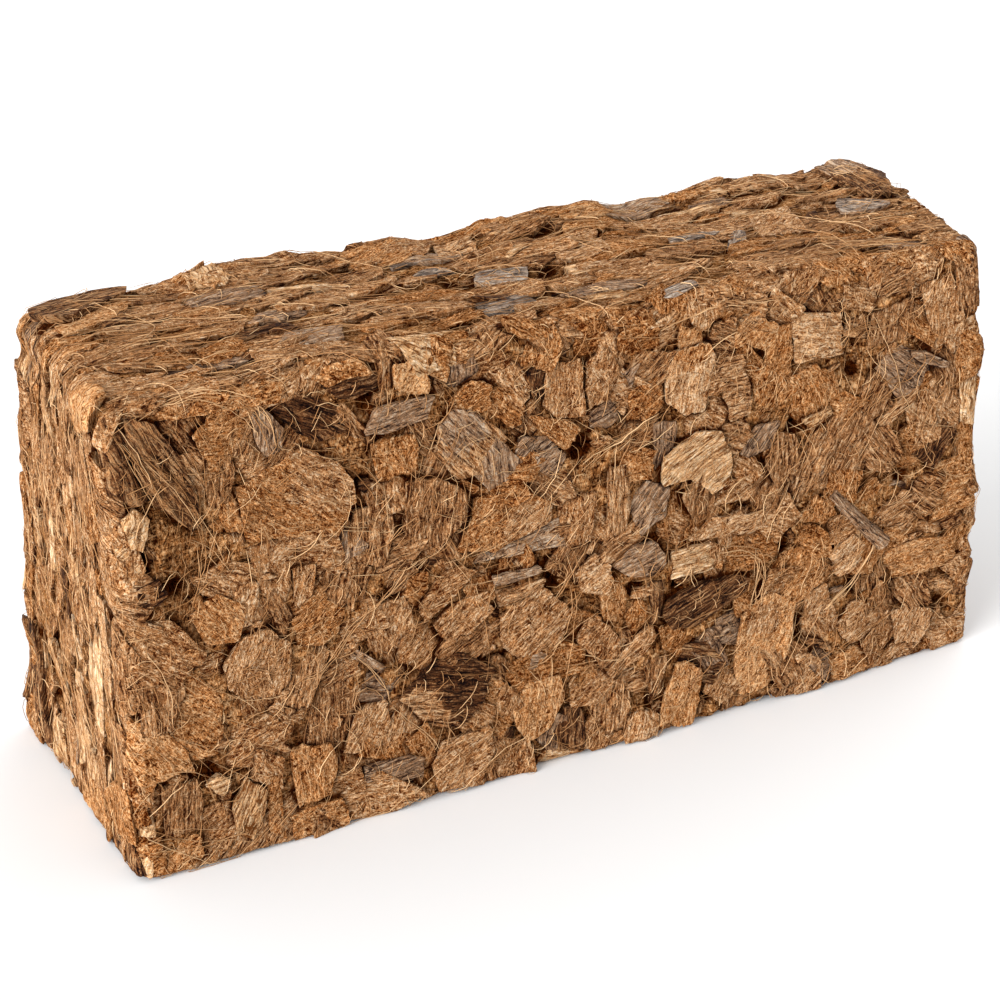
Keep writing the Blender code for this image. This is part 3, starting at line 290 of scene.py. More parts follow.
# Chips that are fused to the block and still show by their outline. Each is named after its kind
FRONT_FUSED = [
    # A dark chip painted where the gap beside the dark wedge lies in shade
    Chip("gap", "brown_husk", -0.7, -60,
         [(-88.5, 96), (-80, 97), (-77, 92), (-80, 85), (-84.5, 88)], -0.1),
    Chip("ridges", "dark_bark", 0.4, -72,
         [(-98.6, 96.5), (-94.4, 95.5), (-91, 86), (-91, 80.5), (-94.5, 80), (-97.5, 82.5)], 0.5),
    Chip("bark", "dark_bark", -0.3, -35,
         [(-67, 96.5), (-59.5, 96), (-52, 92), (-50.5, 86.5), (-56, 85.5), (-62, 89)], 0.1),
    Chip("bark", "dark_bark", 0.1, 5,
         [(-57, 98.5), (-49.5, 98.5), (-42, 97), (-43, 93), (-51, 92.5)], 0.1),
    Chip("felt", "brown_husk", -0.1, 70,
         [(-60, 60), (-52, 60.5), (-46.5, 55), (-48.5, 49), (-56, 49.5)], 0.0),
    Chip("felt", "brown_husk", 0.0, 40, [(-45, 56), (-38, 56), (-36, 50), (-43, 49)], 0.0),
    Chip("slab", "tan_pith", 0.4, 60, [(54, 25), (60, 26), (62, 18.5), (57.5, 17.5), (54.5, 19)], 0.2),
    Chip("slab", "tan_pith", 0.3, 20, [(63, 14), (67, 20), (71, 19), (76, 14), (75, 9), (67, 9)], 0.2),
    Chip("plank", "orange_pith", 0.5, 5, [(62, 8), (70, 8.5), (77, 6), (76, 1.5), (62, 1.5)], 0.2),
    Chip("slab", "tan_pith", 0.5, 75, [(10.5, 8), (15, 7.4), (17.5, 6), (17.5, 1.5), (9, 1.5)], 0.2),
    Chip("foot", "orange_pith", -0.3, 20, [(-101, 10), (-95, 10), (-94, 1.5), (-100, 1.5)], 0.2),
    Chip("upright", "brown_husk", -0.1, 85,
         [(-80, 89), (-75, 88), (-73.5, 84), (-75.5, 77), (-79.5, 76)], 0.1),
    Chip("fold", "brown_husk", -0.1, 60,
         [(-76, 97), (-71, 97), (-69, 88), (-70, 82), (-73, 84), (-75, 91)], 0.1),
    Chip("plank", "tan_pith", 0.1, 88, [(-73, 67), (-65, 67), (-64, 57), (-67, 52), (-71, 57)], 0.1),
    Chip("pith", "tan_pith", 0.2, 75, [(-64, 60), (-59, 60), (-60, 54), (-64, 52)], 0.2),
    Chip("tongue", "tan_pith", 0.3, 70, [(-76, 60), (-71, 59), (-72, 54), (-74, 50), (-79, 50)], 0.3),
    Chip("felt", "brown_husk", -0.2, 80,
         [(-92, 78), (-83, 72), (-80, 62), (-81, 55), (-86, 56), (-91, 62), (-94, 68)], 0.0),
    Chip("crumb", "pale_straw", -0.1, 40, [(-99, 72), (-96, 72), (-94, 67), (-97, 66)], 0.4),
    Chip("tuft", "orange_pith", 1.0, 50,
         [(-40, 97.5), (-35, 97), (-32, 93), (-32.5, 90.5), (-36, 90.5), (-40, 93)], 0.5),
    Chip("felt", "tan_pith", -0.4, 10, [(-26, 99), (-16, 99), (-13, 94), (-17, 90), (-25, 90)], 0.1),
    Chip("bark", "dark_bark", -0.1, 75, [(-10, 90), (-5, 95), (-4, 88), (-6, 84), (-10, 85)], 0.1),
    Chip("wedge", "orange_pith", 0.1, -55, [(-11, 81), (-2, 79), (1, 76), (-3, 72), (-8, 76)], 0.1),
    Chip("pith", "grey_bark", 0.1, 30,
         [(-13, 77), (-7, 76), (-3, 71), (-6, 67), (-11, 70), (-15, 74)], 0.2),
    Chip("strip", "grey_bark", 0.5, 8, [(-23, 54), (-5, 58), (-4, 51), (-25, 51.5)], 0.0, (0, -0.04)),
    Chip("lump", "orange_pith", 0.5, 60, [(25, 95), (30, 93), (30, 90), (24, 89.5)], 0.3),
    Chip("curl", "orange_pith", -0.5, 10, [(11, 98), (19, 98), (20, 91), (14, 90), (10, 93)], 0.3),
    Chip("felt", "orange_pith", -0.6, 20, [(0, 92), (9, 92), (9, 99), (1, 99)], 0.0),
    Chip("pith", "tan_pith", -0.1, 65, [(3, 90.5), (8, 93), (11, 88), (8, 81), (3, 80), (2.6, 84)], 0.2),
    Chip("scrap", "grey_bark", 0.0, 45, [(11, 87), (15, 88), (13, 83)], 0.4),
    Chip("scrap", "grey_bark", -0.2, 20, [(3, 79), (8, 81.5), (10, 77), (7, 75), (3, 76)], 0.3),
    Chip("wedge", "orange_pith", -0.2, 30, [(13, 82), (20, 85), (20, 77), (16, 75), (11, 76)], 0.2),
    Chip("ribs", "grey_bark", -0.2, 85, [(17, 74), (23, 73), (22, 66.5), (18, 63)], 0.1),
    Chip("felt", "orange_pith", 0.0, 60, [(41, 70), (41, 82), (51, 82), (52, 72)], 0.0),
    Chip("cap", "dark_bark", 0.7, -5, [(50.5, 96), (58, 96), (58, 92.3), (51, 93.5)], 0.6),
    Chip("rust", "orange_pith", -0.1, 50, [(81, 71), (86, 72), (90, 69), (85, 66), (81, 67)], 0.1),
    Chip("wedge", "pale_straw", -0.7, 20, [(53.5, 67), (60, 68.8), (61, 67), (56, 64)], 0.7),
    Chip("slab", "brown_husk", 0.0, 65,
         [(54, 61), (66, 69), (75, 60), (70, 50), (60, 49), (52, 50)], 0.1, (0, 0.02)),
    Chip("felt", "orange_pith", 0.0, -20, [(75, 57), (80, 59), (85, 62), (87, 50), (76, 50)], 0.1),
    Chip("strip", "pale_straw", 0.2, 88, [(95, 68), (99, 68), (99, 56), (95, 57)], 0.4),
    Chip("bark", "dark_bark", 0.2, 88,
         [(95.8, 84), (100.5, 84), (100.5, 99), (93, 98.5), (95, 94)], 0.3),
    Chip("ribs", "brown_husk", 0.1, 75, [(70, 80), (72, 88), (83, 90), (83, 81)], 0.1),
    Chip("slab", "brown_husk", -0.2, 15, [(74, 91), (75, 98), (84, 97), (83, 92)], 0.2),
    Chip("felt", "orange_pith", 0.2, -35,
         [(-92, 44), (-86, 44), (-80.5, 37), (-80, 30), (-82, 24), (-87, 24), (-92, 32)], 0.1),
    Chip("tuft", "orange_pith", 0.5, -50,
         [(-99, 36), (-94, 35), (-88, 27), (-87, 22), (-97, 21.5), (-100, 28)], 0.4),
    Chip("crumb", "pale_straw", 0.0, 10, [(-85, 18), (-82, 20), (-79, 18), (-81, 15)], 0.6),
    Chip("slab", "tan_pith", -0.1, 15,
         [(-79, 29), (-72, 31), (-65, 26), (-68, 23), (-73, 19.5), (-80, 21)], 0.2),
    Chip("strip", "orange_pith", 0.3, 5, [(-68, 6.5), (-56, 7.5), (-55, 1.5), (-67, 1)], 0.2),
    Chip("bark", "orange_pith", -0.5, 80, [(-102, 20), (-98, 21), (-96, 13), (-101, 11)], 0.3),
    Chip("slab", "orange_pith", 0.0, 85, [(-72, 17), (-69, 16), (-69.5, 3), (-72.5, 4)], 0.1),
    Chip("lump", "orange_pith", 0.0, 30,
         [(-65, 50), (-58, 51.5), (-53, 50), (-55, 44), (-60, 42), (-64, 44)], 0.3),
    Chip("strip", "brown_husk", 0.0, 20, [(-62, 38), (-50, 37), (-51, 28), (-61, 29)], -0.1),
    Chip("stick", "grey_bark", 0.2, -48, [(-53, 39), (-51, 39.5), (-45.5, 34), (-46.5, 32.5)], 0.6),
    Chip("scrap", "dark_bark", -0.3, 40, [(-22, 6), (-19.5, 11.5), (-16, 12), (-18, 6)], 0.2),
    Chip("layer", "brown_husk", 0.3, 15, [(-20, 44), (-8.5, 44.5), (-9, 41), (-20, 40)], 0.1),
    Chip("fold", "tan_pith", -0.2, 15,
         [(-37, 45), (-33, 50), (-28, 52), (-24, 50), (-30, 44), (-36, 41)], 0.3),
    Chip("slab", "tan_pith", 0.1, 70, [(-50, 47), (-40, 48), (-37.5, 41), (-42, 36.5), (-47, 41)], 0.2),
    Chip("fan", "tan_pith", 0.0, 35,
         [(-34, 40), (-30, 43.5), (-22, 44.5), (-20.5, 40), (-25, 36), (-31, 35)], 0.2),
    Chip("band", "tan_pith", 0.5, 10,
         [(25, 45.2), (31, 49), (40, 48), (50, 46), (42, 42.5), (34, 43.8)], 0.4),
    Chip("block", "brown_husk", 0.1, 80,
         [(4, 16.5), (10, 16.5), (11, 10), (10, 5), (5, 4), (1.5, 10)], 0.2),
    Chip("block", "brown_husk", -0.2, 80, [(14, 20), (20, 19), (18.5, 12), (15.5, 8)], 0.2),
    Chip("plank", "orange_pith", -0.3, 75, [(9, 31), (12, 35), (15, 34), (15, 28.5), (12, 26)], 0.1),
    Chip("block", "tan_pith", -0.2, 50,
         [(1, 33), (5, 31), (9, 26), (6.5, 21), (3, 23), (-1.5, 28)], 0.3),
    Chip("block", "tan_pith", 0.6, 30, [(-2, 44), (3, 48), (6, 45), (7, 41), (6, 37.5), (0, 39)], 0.3),
    Chip("strip", "dark_bark", 0.5, 88, [(15, 38.5), (19, 38), (18, 28), (16, 28)], 0.2),
    Chip("scrap", "brown_husk", -0.6, 20, [(89, 34), (94, 35.5), (96, 33), (95, 31.5), (90, 31.7)], 0.5),
    Chip("strip", "dark_bark", 0.9, -20, [(53, 14.5), (56, 14), (61, 11.4), (61, 9.6), (57, 11.3)], 0.4),
    Chip("roof", "tan_pith", 0.4, 20, [(52, 11), (56, 10), (59, 7.5), (59, 1.5), (52, 1.5)], 0.2),
    Chip("slab", "brown_husk", 0.2, 25, [(72, 38), (80, 44), (84, 43), (86, 38), (80, 33.5)], 0.2),
    Chip("slab", "orange_pith", 0.3, 15, [(87, 34), (88, 49), (98, 50), (98.5, 36)], 0.1),
    Chip("lump", "orange_pith", 0.0, 70, [(53, 43), (58, 48), (62, 46), (63, 42), (59, 40.5)], 0.2),
    Chip("wedge", "brown_husk", 0.3, -15, [(84.5, 16.3), (88, 20), (95, 18.5), (96, 15.3)], 0.4),
    Chip("plank", "tan_pith", 0.4, -10, [(90.5, 6), (98, 8), (99, 1.5), (90, 1.5)], 0.2),
    Chip("crumb", "orange_pith", -0.1, 40, [(70, 20.5), (74, 21.5), (76, 16.5), (71, 15.5)], 0.2),
]

TOP_FUSED = [
    Chip("layer", "orange_pith", 0.8, 8,
         [(-96.5, 18.6), (-81.7, 22.9), (-77.3, 25.8), (-80, 17), (-85.8, 11.5), (-91, 9.7),
          (-96.1, 10.1)], 1.1),
    Chip("moss", "dark_bark", 0.3, 30, [(-86.3, 17.7), (-80.6, 18.5), (-83.1, 9.3), (-87.9, 8.5)], 0.8),
    Chip("flat", "grey_bark", -0.1, 3, [(-70, 9), (-69, 15), (-54, 14), (-53, 8)], 0.3, (0, 0.04)),
    Chip("slab", "tan_pith", -0.1, 5,
         [(-78, -2), (-76, -5), (-63, -6.5), (-61, -1), (-70, 0.5)], 0.3, (0, -0.04)),
    Chip("rust", "orange_pith", -0.1, 10,
         [(-75, -16), (-74, -10), (-66, -8), (-63, -13), (-70, -18)], 0.3, (0, 0.05)),
    Chip("flat", "grey_bark", 0.0, 8, [(-62, -4), (-58, 1), (-48, 0.5), (-49, -4)], 0.4, (0, -0.05)),
    Chip("slab", "tan_pith", 0.3, 12, [(-40, 2), (-36, 9), (-24, 10.5), (-26, 3)], 0.3, (0, 0.05)),
    Chip("ribs", "silver_bark", -0.4, 10, [(-24, 13), (-22, 22), (-14, 23), (-14, 13)], 0.2, (0, -0.04)),
    Chip("chip", "silver_bark", 0.0, 4,
         [(-21, 7.5), (-19, 9.5), (-12.5, 10), (-12, 6), (-19.5, 5.5)], 0.5, (0, -0.03)),
    Chip("slab", "tan_pith", 0.6, 15, [(-12, 15), (-10, 23), (-2, 22), (-3, 15.5)], 0.3, (0, 0.04)),
    Chip("slab", "tan_pith", 0.3, 8,
         [(9, 0.5), (11, 4), (22, 6.5), (22.5, 1), (14, -1.5)], 0.4, (0, 0.05)),
    Chip("slab", "pale_straw", 0.0, 5,
         [(9, -3.5), (15.5, -3.3), (16, -8), (9.5, -8.6)], 0.4, (0, -0.04)),
    Chip("ribs", "silver_bark", -0.4, 6,
         [(-15, -12), (-2.5, -11), (-1.5, -18), (-7, -22), (-14, -21)], 0.3, (0, 0.05)),
    Chip("strip", "pale_straw", -0.4, 5, [(8, -18.5), (16, -18.2), (16.5, -21.5), (8, -22)], 0.4),
    Chip("lump", "orange_pith", 0.4, 30, [(0, 20), (1, 26), (8, 26), (8.5, 21)], 0.4),
    Chip("lump", "orange_pith", 0.7, 20, [(19, 19.5), (20, 26), (31, 26), (33, 22), (27, 18.5)], 0.5),
    Chip("plank", "brown_husk", 0.4, 4, [(62, 21), (63, 26), (78, 25.5), (78, 20.5)], 0.9, (0, 0.03)),
    Chip("flat", "grey_bark", -0.4, 0, [(50, 15), (50.5, 19.5), (60, 19.5), (60, 15.5)], 0.3, (0, 0.05)),
    Chip("curl", "silver_bark", -0.3, 55, [(46, -9.5), (50, -10.5), (55.5, 0), (52, 2.5)], 0.4),
    Chip("swirl", "tan_pith", 0.4, 35, [(56.5, -5), (60, 7.5), (70, 8), (69, -5.5)], 0.3, (0, 0.05)),
    Chip("plank", "brown_husk", 0.1, 4,
         [(52, -19.5), (53, -14), (68, -13.5), (68, -19)], 0.4, (0, -0.05)),
    Chip("slab", "orange_pith", 0.2, 10,
         [(84, -14), (86, -7.5), (95, -8.5), (94, -14.5)], 0.3, (0, 0.05)),
]

LEFT_FUSED = [
    Chip("dome", "orange_pith", 0.8, 60,
         [(-13, 96), (-15, 99), (-19, 101.5), (-23.5, 101.5), (-26, 98.5), (-25.5, 95), (-22, 93),
          (-16, 92)], 0.9),
    Chip("ring", "dark_bark", 0.2, 88,
         [(28.5, 27), (26, 28), (25.2, 18), (26.5, 8), (29, 5), (31, 15)], 0.7),
    Chip("ring", "dark_bark", 0.3, 95,
         [(25.5, 29), (22.5, 28), (21, 20), (21.5, 13), (17, 8), (13.5, 6), (14.5, 3.5), (19.5, 5),
          (26, 11), (26.8, 20)], 0.8),
    Chip("bark", "dark_bark", 0.1, 84,
         [(15, 4), (14.5, 14), (17, 23), (18.8, 22), (17.4, 13), (17.8, 4)], 0.4),
    Chip("streak", "pale_straw", 0.3, 92, [(5, 64), (8.5, 62), (9.2, 50), (6.4, 51)], 0.3),
    Chip("streak", "pale_straw", 0.0, 88, [(24.5, 92), (21.5, 92), (22, 86), (25, 86)], 0.3),
    Chip("bark", "dark_bark", 0.1, 80, [(18.5, 98.5), (12.5, 98), (15, 91.5), (18.5, 93)], 0.3),
    Chip("felt", "orange_pith", 0.6, 75, [(-14, 2), (-1, 2), (-2, 9), (-13, 10)], 0.3),
    Chip("felt", "tan_pith", 0.6, 88, [(-8, 66), (-2, 68), (-3, 80), (-9, 79)], 0.2),
    Chip("strip", "tan_pith", 0.7, 90, [(-22, 36), (-18, 37), (-17, 58), (-21, 57)], 0.2),
]

FUSED_CHIPS = {"front": FRONT_FUSED, "top": TOP_FUSED, "left": LEFT_FUSED}

# Scattered chips on each face: seed, spacing along u and v, length and width, how far they turn,
# and the lowest and highest lift. The first list repeats the chips of the block's solid
Scatter = namedtuple("Scatter", "seed spacing long_side short_side turn_from turn_to lifts")
LARGE_SCATTERS = {
    "front": Scatter(3, (14.0, 12.5), (15, 22), (11, 15), -90, 90, (-0.25, 0.35)),
    "back": Scatter(5, (19.5, 16.5), (19, 26), (15, 20), -90, 90, (-0.2, 0.4)),
    "left": Scatter(7, (12.5, 22.0), (19, 28), (9, 13), 75, 105, (-0.2, 0.4)),
    "right": Scatter(9, (12.5, 22.0), (19, 28), (9, 13), 75, 105, (-0.2, 0.4)),
    "top": Scatter(11, (23.0, 11.0), (19, 29), (8, 11.5), -14, 14, (-0.2, 0.4)),
}
SMALL_SCATTERS = {
    "front": Scatter(23, (7.4, 6.4), (10, 15.5), (7, 11), -90, 90, (-0.35, 0.35)),
    "back": Scatter(25, (8.2, 7.0), (10.5, 17), (8, 12), -90, 90, (-0.35, 0.4)),
    "left": Scatter(27, (4.4, 9.5), (12, 22), (3.4, 6.2), 76, 104, (-0.3, 0.3)),
    "right": Scatter(29, (5.5, 10.5), (11, 20), (5, 7.5), 72, 108, (-0.35, 0.5)),
    "top": Scatter(31, (10.5, 3.9), (15, 26), (3.6, 7), -13, 13, (-0.45, 0.6)),
    "base": Scatter(33, (11.0, 9.0), (12, 19), (9, 13), -90, 90, (-0.5, 0.0)),
}
CRUMB_SCATTERS = {
    "front": Scatter(43, (8.4, 7.4), (3, 6.5), (1.6, 3.6), -90, 90, (-0.6, 0.2)),
    "back": Scatter(45, (9.4, 8.6), (3, 7), (1.6, 3.6), -90, 90, (-0.6, 0.3)),
    "left": Scatter(47, (4.6, 6.4), (3.5, 8), (1.0, 2.4), 70, 110, (-0.5, 0.4)),
    "right": Scatter(49, (5.8, 8.8), (4, 9), (1.2, 2.8), 70, 110, (-0.5, 0.4)),
    "top": Scatter(51, (11.0, 6.0), (4, 9), (1.2, 2.8), -24, 24, (-0.6, 0.5)),
    "base": Scatter(53, (8.0, 7.0), (4, 8), (2, 4), -90, 90, (-0.6, -0.1)),
}

# The step from the seed of the scattered chips' places to that of their looks. How steep a large and
# a small one may lie, how far its shade strays, and how its grain strays from its long side, with the
# share of front chips whose grain runs across it
LOOKS_SEED_STEP = 100
TILT = 0.07
SMALL_TILT = 0.13
SHADES = 0.24
GRAIN_STRAY = 12
CROSS_GRAINED = 0.15

# The corners of a scattered chip: how many, how unevenly they turn, and how far out they reach
CORNER_COUNTS = (4, 5, 5)
UNEVEN = 0.16
CORNER_REACH = (0.88, 1.12)

# How often a place is tried for a large chip, and on each square millimetre for a small one or a crumb
LARGE_TRIES = 900
SMALL_TRIES = 0.275
CRUMB_TRIES = 0.36667

# How far the middle of a large chip keeps from a placed chip, how far within a placed chip's rim the
# middle of a small chip or a crumb may lie, and the height above the base at which the chips end
SEAT_MARGIN = 2.5
SMALL_OVER_STANDOUT = 0.5
SMALL_OVER_FUSED = 0.8
CRUMB_OVER_STANDOUT = 0.3
BASE_CLEARANCE = 1.2

# How often a scattered chip has each tone
TONE_SHARES = {
    "tan_pith": 0.38, "orange_pith": 0.25, "brown_husk": 0.28,
    "grey_bark": 0.04, "dark_bark": 0.02, "pale_straw": 0.03,
}
FRONT_TONE_SHARES = {
    "tan_pith": 0.38, "orange_pith": 0.26, "grey_bark": 0.03, "dark_bark": 0.01, "brown_husk": 0.32,
}
# The left end has more pale straw, which makes it paler: partly its own colour and partly a painted
# highlight where the key light falls
LEFT_TONE_SHARES = {
    "tan_pith": 0.42, "orange_pith": 0.14, "brown_husk": 0.20,
    "grey_bark": 0.02, "dark_bark": 0.02, "pale_straw": 0.20,
}
SIDE_TONE_SHARES = {"front": FRONT_TONE_SHARES, "right": FRONT_TONE_SHARES, "left": LEFT_TONE_SHARES}

# Relief of a chip by tone: height of its ribs and its lumps, how far its ends fray, and its thickness
Relief = namedtuple("Relief", "ribs lumps fray thickness")
RELIEFS = {
    "tan_pith": Relief(0.06, 0.15, 0.5, 1.7),
    "orange_pith": Relief(0.06, 0.18, 0.6, 1.6),
    "brown_husk": Relief(0.13, 0.10, 0.6, 1.5),
    "grey_bark": Relief(0.06, 0.06, 0.15, 1.3),
    "silver_bark": Relief(0.10, 0.06, 0.15, 1.3),
    "dark_bark": Relief(0.22, 0.06, 0.3, 1.5),
    "pale_straw": Relief(0.07, 0.07, 0.3, 1.4),
}

# Steps of a chip's mesh across and along its grain, by how closely the face is seen
MESH_STEPS = {
    "front": (0.5, 1.05), "top": (0.55, 1.1), "left": (0.55, 1.1),
    "right": (0.75, 1.5), "back": (0.8, 1.6), "base": (1.0, 2.0),
}
CRUMB_STEP_FACTOR = 1.4

# How far a chip's rim rolls down and over what width, how far its ends bend up or down, and how much
# smaller its back is than its outer side
RIM_ROLL = 0.1
RIM_WIDTH = 0.5
WARP = 0.35
CRUMB_WARP = 0.1
BACK_SHARE = 0.97

# Waver of a chip's outline: how far, for a traced chip and for any other, and how often per millimetre,
# with a finer waver on it that has this share and comes this much more often
TRACED_WAVER = 0.25
WAVER = 0.32
WAVERS_PER_MM = 0.4
FINE_SHARE = 0.5
FINE_RATE = 2.3

# Layers of a chip's relief: the share of each, and how often it comes per millimetre. The ribs have
# one number across and one along the grain, the lumps two alike, and the frayed ends one across it.
# Rows shorter than the fray length fray less, and the chip's two outer rows have this share of it
RIB_LAYERS = ((1.0, 0.9, 0.06), (0.6, 1.9, 0.12))
LUMP_LAYERS = ((1.0, 0.35, 0.35), (0.7, 0.9, 0.9))
FRAY_LAYERS = ((0.55, 0.55), (0.45, 1.9))
ROW_INSET = 0.02
FRAY_LENGTH = 4
SIDE_FRAY = 0.25
SIDE_FRAYS_PER_MM = 0.6

# Painted shade on a chip's rim as added depth, with how often it comes and goes and how much of the
# rim it leaves out. Painted shade in a crack for each millimetre that the chips beside it stand higher,
# on a chip and on the imported mass, and how near they are. The painted shade that a groove gets per
# millimetre of its depth
RIM_PAINTED_SHADE = 1.8
RIM_SHADE_SPOTS_PER_MM = 0.22
RIM_SHADE_BIAS = 0.25
CRACK_PAINTED_SHADE = 2.9
MASS_PAINTED_SHADE = 1.2
CRACK_REACH = 0.45
GROOVE_PAINTED_SHADE = 1.6

# How far the rim of a patch wavers, and how often along and across the grain per millimetre
PATCH_WAVER = 1.6
PATCH_WAVERS_PER_MM = (0.5, 0.9)

# The offset of the grain's patterns from one chip to the next
CHIP_GRAIN_STEP = 3.7

# Chips with deeper ribs than their tone has
RIDGED = {
    "corner_bark_fold": 5.0, "ridges": 2.4, "long_dark_wedge_chip": 1.7, "pale_splinter_chip": 5.0,
    "curled_bark_chip": 1.4, "silver_right_chip": 2.0, "grey_slab_chip": 1.6,
    "overhanging_dark_chip": 1.2,
}

# Chips that lie level and stick out over the rounded edges, and how low the rim of any chip may lie
LEVEL_CHIPS = ("overhanging_dark_chip",)
LOWEST_RIM = -1.5

# Dark hollows between the chips: the centre on the face, the radius, the depth
HOLLOWS = {
    "front": [
        (0.5, 72, 2.0, 3), (52.4, 66, 1.5, 3), (-40, 31.5, 1.5, 2), (-6.5, 43.5, 1.7, 2.5),
        (48, 38, 2.2, 2), (22.5, 35.6, 1.4, 2.5), (12, 37.6, 1.4, 2), (29.5, 5.2, 1.4, 3),
        (16.2, 8.6, 1.2, 2.5), (92, 11.6, 1.5, 2.5), (68.3, 23, 1.3, 2), (-84, 20.6, 1.7, 2),
        (-45.5, 92, 2.2, 2), (-93.4, 68.5, 1.5, 2), (-88.5, 62, 1.3, 2), (-62.5, 19.5, 1.3, 2),
        (53.5, 16.5, 1.5, 2), (80, 47.5, 1.3, 2), (-48, 74.5, 1.6, 2), (65.8, 76, 1.5, 2),
    ],
    "top": [
        (-13.5, 1.5, 1.8, 2.5), (6.3, -2, 1.8, 2), (68, 18.8, 2.2, 2), (40, -9, 1.8, 2),
        (91, 16, 1.6, 2), (-42, -6, 1.8, 2), (28, 12, 1.8, 2),
    ],
    "left": [
        (19.3, 27, 1.4, 3), (17.2, 22.5, 1.5, 3.5), (14.6, 17.5, 1.4, 3), (23, 79, 1.5, 3),
        (-26, 90, 1.4, 2),
    ],
}

# The round grey twig: its two ends on the front, its radii there, its lift, its shade and how far it
# bends. Its rings and sides, and its ribs: their height, how often they come round it and along it,
# and how deep they lie. The reach of its grain along it and round it, and the grain's offset
TWIG_TOP = (62, 47.5)
TWIG_FOOT = (75, 32)
TWIG_RADII = (1.4, 2.2)
TWIG_LIFT = -0.2
TWIG_SHADE = 0.1
TWIG_BEND = 0.35
TWIG_RINGS = 26
TWIG_SIDES = 16
TWIG_RIBS = 0.12
TWIG_RIB_RATES = (2.2, 3)
TWIG_RIB_SINK = 0.1
TWIG_GRAIN = (20, 1.8, 9.0)

# Strands that show: points on the face, how many fibres, and how far they spread
Strand = namedtuple("Strand", "points count spread")
STRANDS = {
    "front": [
        Strand([(0, 66), (10, 72), (19, 75)], 6, 0.9),
        Strand([(0, 79), (9, 72), (17, 69)], 2, 0.5),
        Strand([(72, 88), (76, 78), (77, 70), (84, 60), (95, 57)], 2, 0.4),
        Strand([(51, 97), (62, 98.5), (80, 98)], 1, 0.2),
        Strand([(-66, 35), (-58, 38), (-50, 44), (-40, 52)], 3, 0.9),
        Strand([(-90, 46), (-80, 38), (-74, 34), (-66, 34)], 1, 0.2),
        Strand([(-97, 14), (-93, 18), (-88, 20.5)], 1, 0.2),
        Strand([(-52, 39), (-48, 35), (-44, 28), (-44, 24), (-40, 20), (-35, 15), (-34, 12)], 2, 0.4),
        Strand([(-33, 2), (-25, 5), (-12, 10)], 3, 0.8),
        Strand([(-9, 7), (-5, 4), (0, 2)], 2, 0.5),
        Strand([(2, 50), (-2, 44), (-7, 38)], 2, 0.4),
        Strand([(33, 41), (43, 38), (43, 30), (42, 25)], 3, 0.9),
        Strand([(-82, 76), (-80, 68), (-82, 60)], 4, 2.0),
        Strand([(-92, 90), (-86, 82), (-82, 72)], 2, 0.8),
        Strand([(-89, 97.5), (-79, 98.5), (-71.5, 96.8), (-67.5, 92.6), (-66.6, 88)], 7, 1.4),
        Strand([(-97, 95), (-93, 88), (-91, 80)], 5, 1.4),
        Strand([(-97, 50), (-92, 42), (-90, 32)], 2, 1.6),
        Strand([(-98, 12), (-88, 7), (-76, 4)], 5, 2.4),
        Strand([(20, 96), (36, 97.5), (50, 96)], 2, 1.0),
        Strand([(56, 88), (66, 84), (80, 86)], 3, 1.6),
        Strand([(-60, 84), (-48, 78), (-44, 70)], 3, 1.2),
        Strand([(-36, 68), (-30, 76), (-27, 84)], 2, 0.6),
        Strand([(60, 20), (68, 24), (74, 34)], 4, 1.2),
    ],
    "top": [
        Strand([(-81, 2.5), (-79, -4.5), (-76.7, -14), (-75.4, -20)], 1, 0.2),
        Strand([(-49, 3), (-44, 1.5), (-39, 0)], 2, 0.3),
        Strand([(-94, -8), (-82, -2), (-66, -3)], 3, 1.8),
        Strand([(-88, -21), (-76, -22), (-62, -21)], 2, 1.2),
        Strand([(60, -22), (74, -20), (90, -22)], 3, 1.6),
    ],
}

# Loose fibres on each face: how many of each length, and the way they mostly run
Fleece = namedtuple("Fleece", "short medium long turn spread")
FLEECES = {
    "front": Fleece(1500, 420, 26, 20, 70),
    "top": Fleece(600, 240, 16, 2, 22),
    "left": Fleece(420, 170, 8, 90, 24),
    "right": Fleece(300, 150, 8, 90, 26),
    "back": Fleece(700, 300, 22, 10, 75),
    "base": Fleece(80, 40, 0, 0, 80),
}
FIBRE_STEPS = {"short": 3, "medium": 6, "long": 12}
FIBRE_LENGTHS = {"short": (2.5, 6.5), "medium": (6, 14), "long": (16, 38)}
FIBRE_BEND = {"short": 0.3, "medium": 0.16, "long": 0.06}

# The grain's length along a fibre, and its offset from one fibre to the next
FIBRE_GRAIN = 10
FIBRE_GRAIN_STEP = 1.7

# A fibre's least and greatest radius, and the share of it that is left at the tips
FIBRE_RADII = (0.045, 0.09)
STRAND_RADII = (0.05, 0.11)
FIBRE_TAPER = 0.35

# How a fibre lies: how high it rises as a whole and from point to point, how it wavers, how often it
# is drawn over a gap and how far it sags there, and how deep its ends dip into the chips
FIBRE_RISE = 0.12
FIBRE_FLUTTER = 0.05
FIBRE_WAVER = 0.12
FIBRE_BRIDGINGS = 2
FIBRE_SAG = 0.05
FIBRE_DIP = 0.25

# A strand's step and how often its path is smoothed, how its fibres shift and fan out as shares of
# its spread, how they waver and swing, and how often they swing per millimetre
STRAND_STEP = 2.2
STRAND_SMOOTHINGS = 3
STRAND_SHIFT = 0.6
STRAND_FAN = 0.5
STRAND_WAVER = 0.16
STRAND_SWING = 0.5
STRAND_SWINGS_PER_MM = (0.15, 0.45)

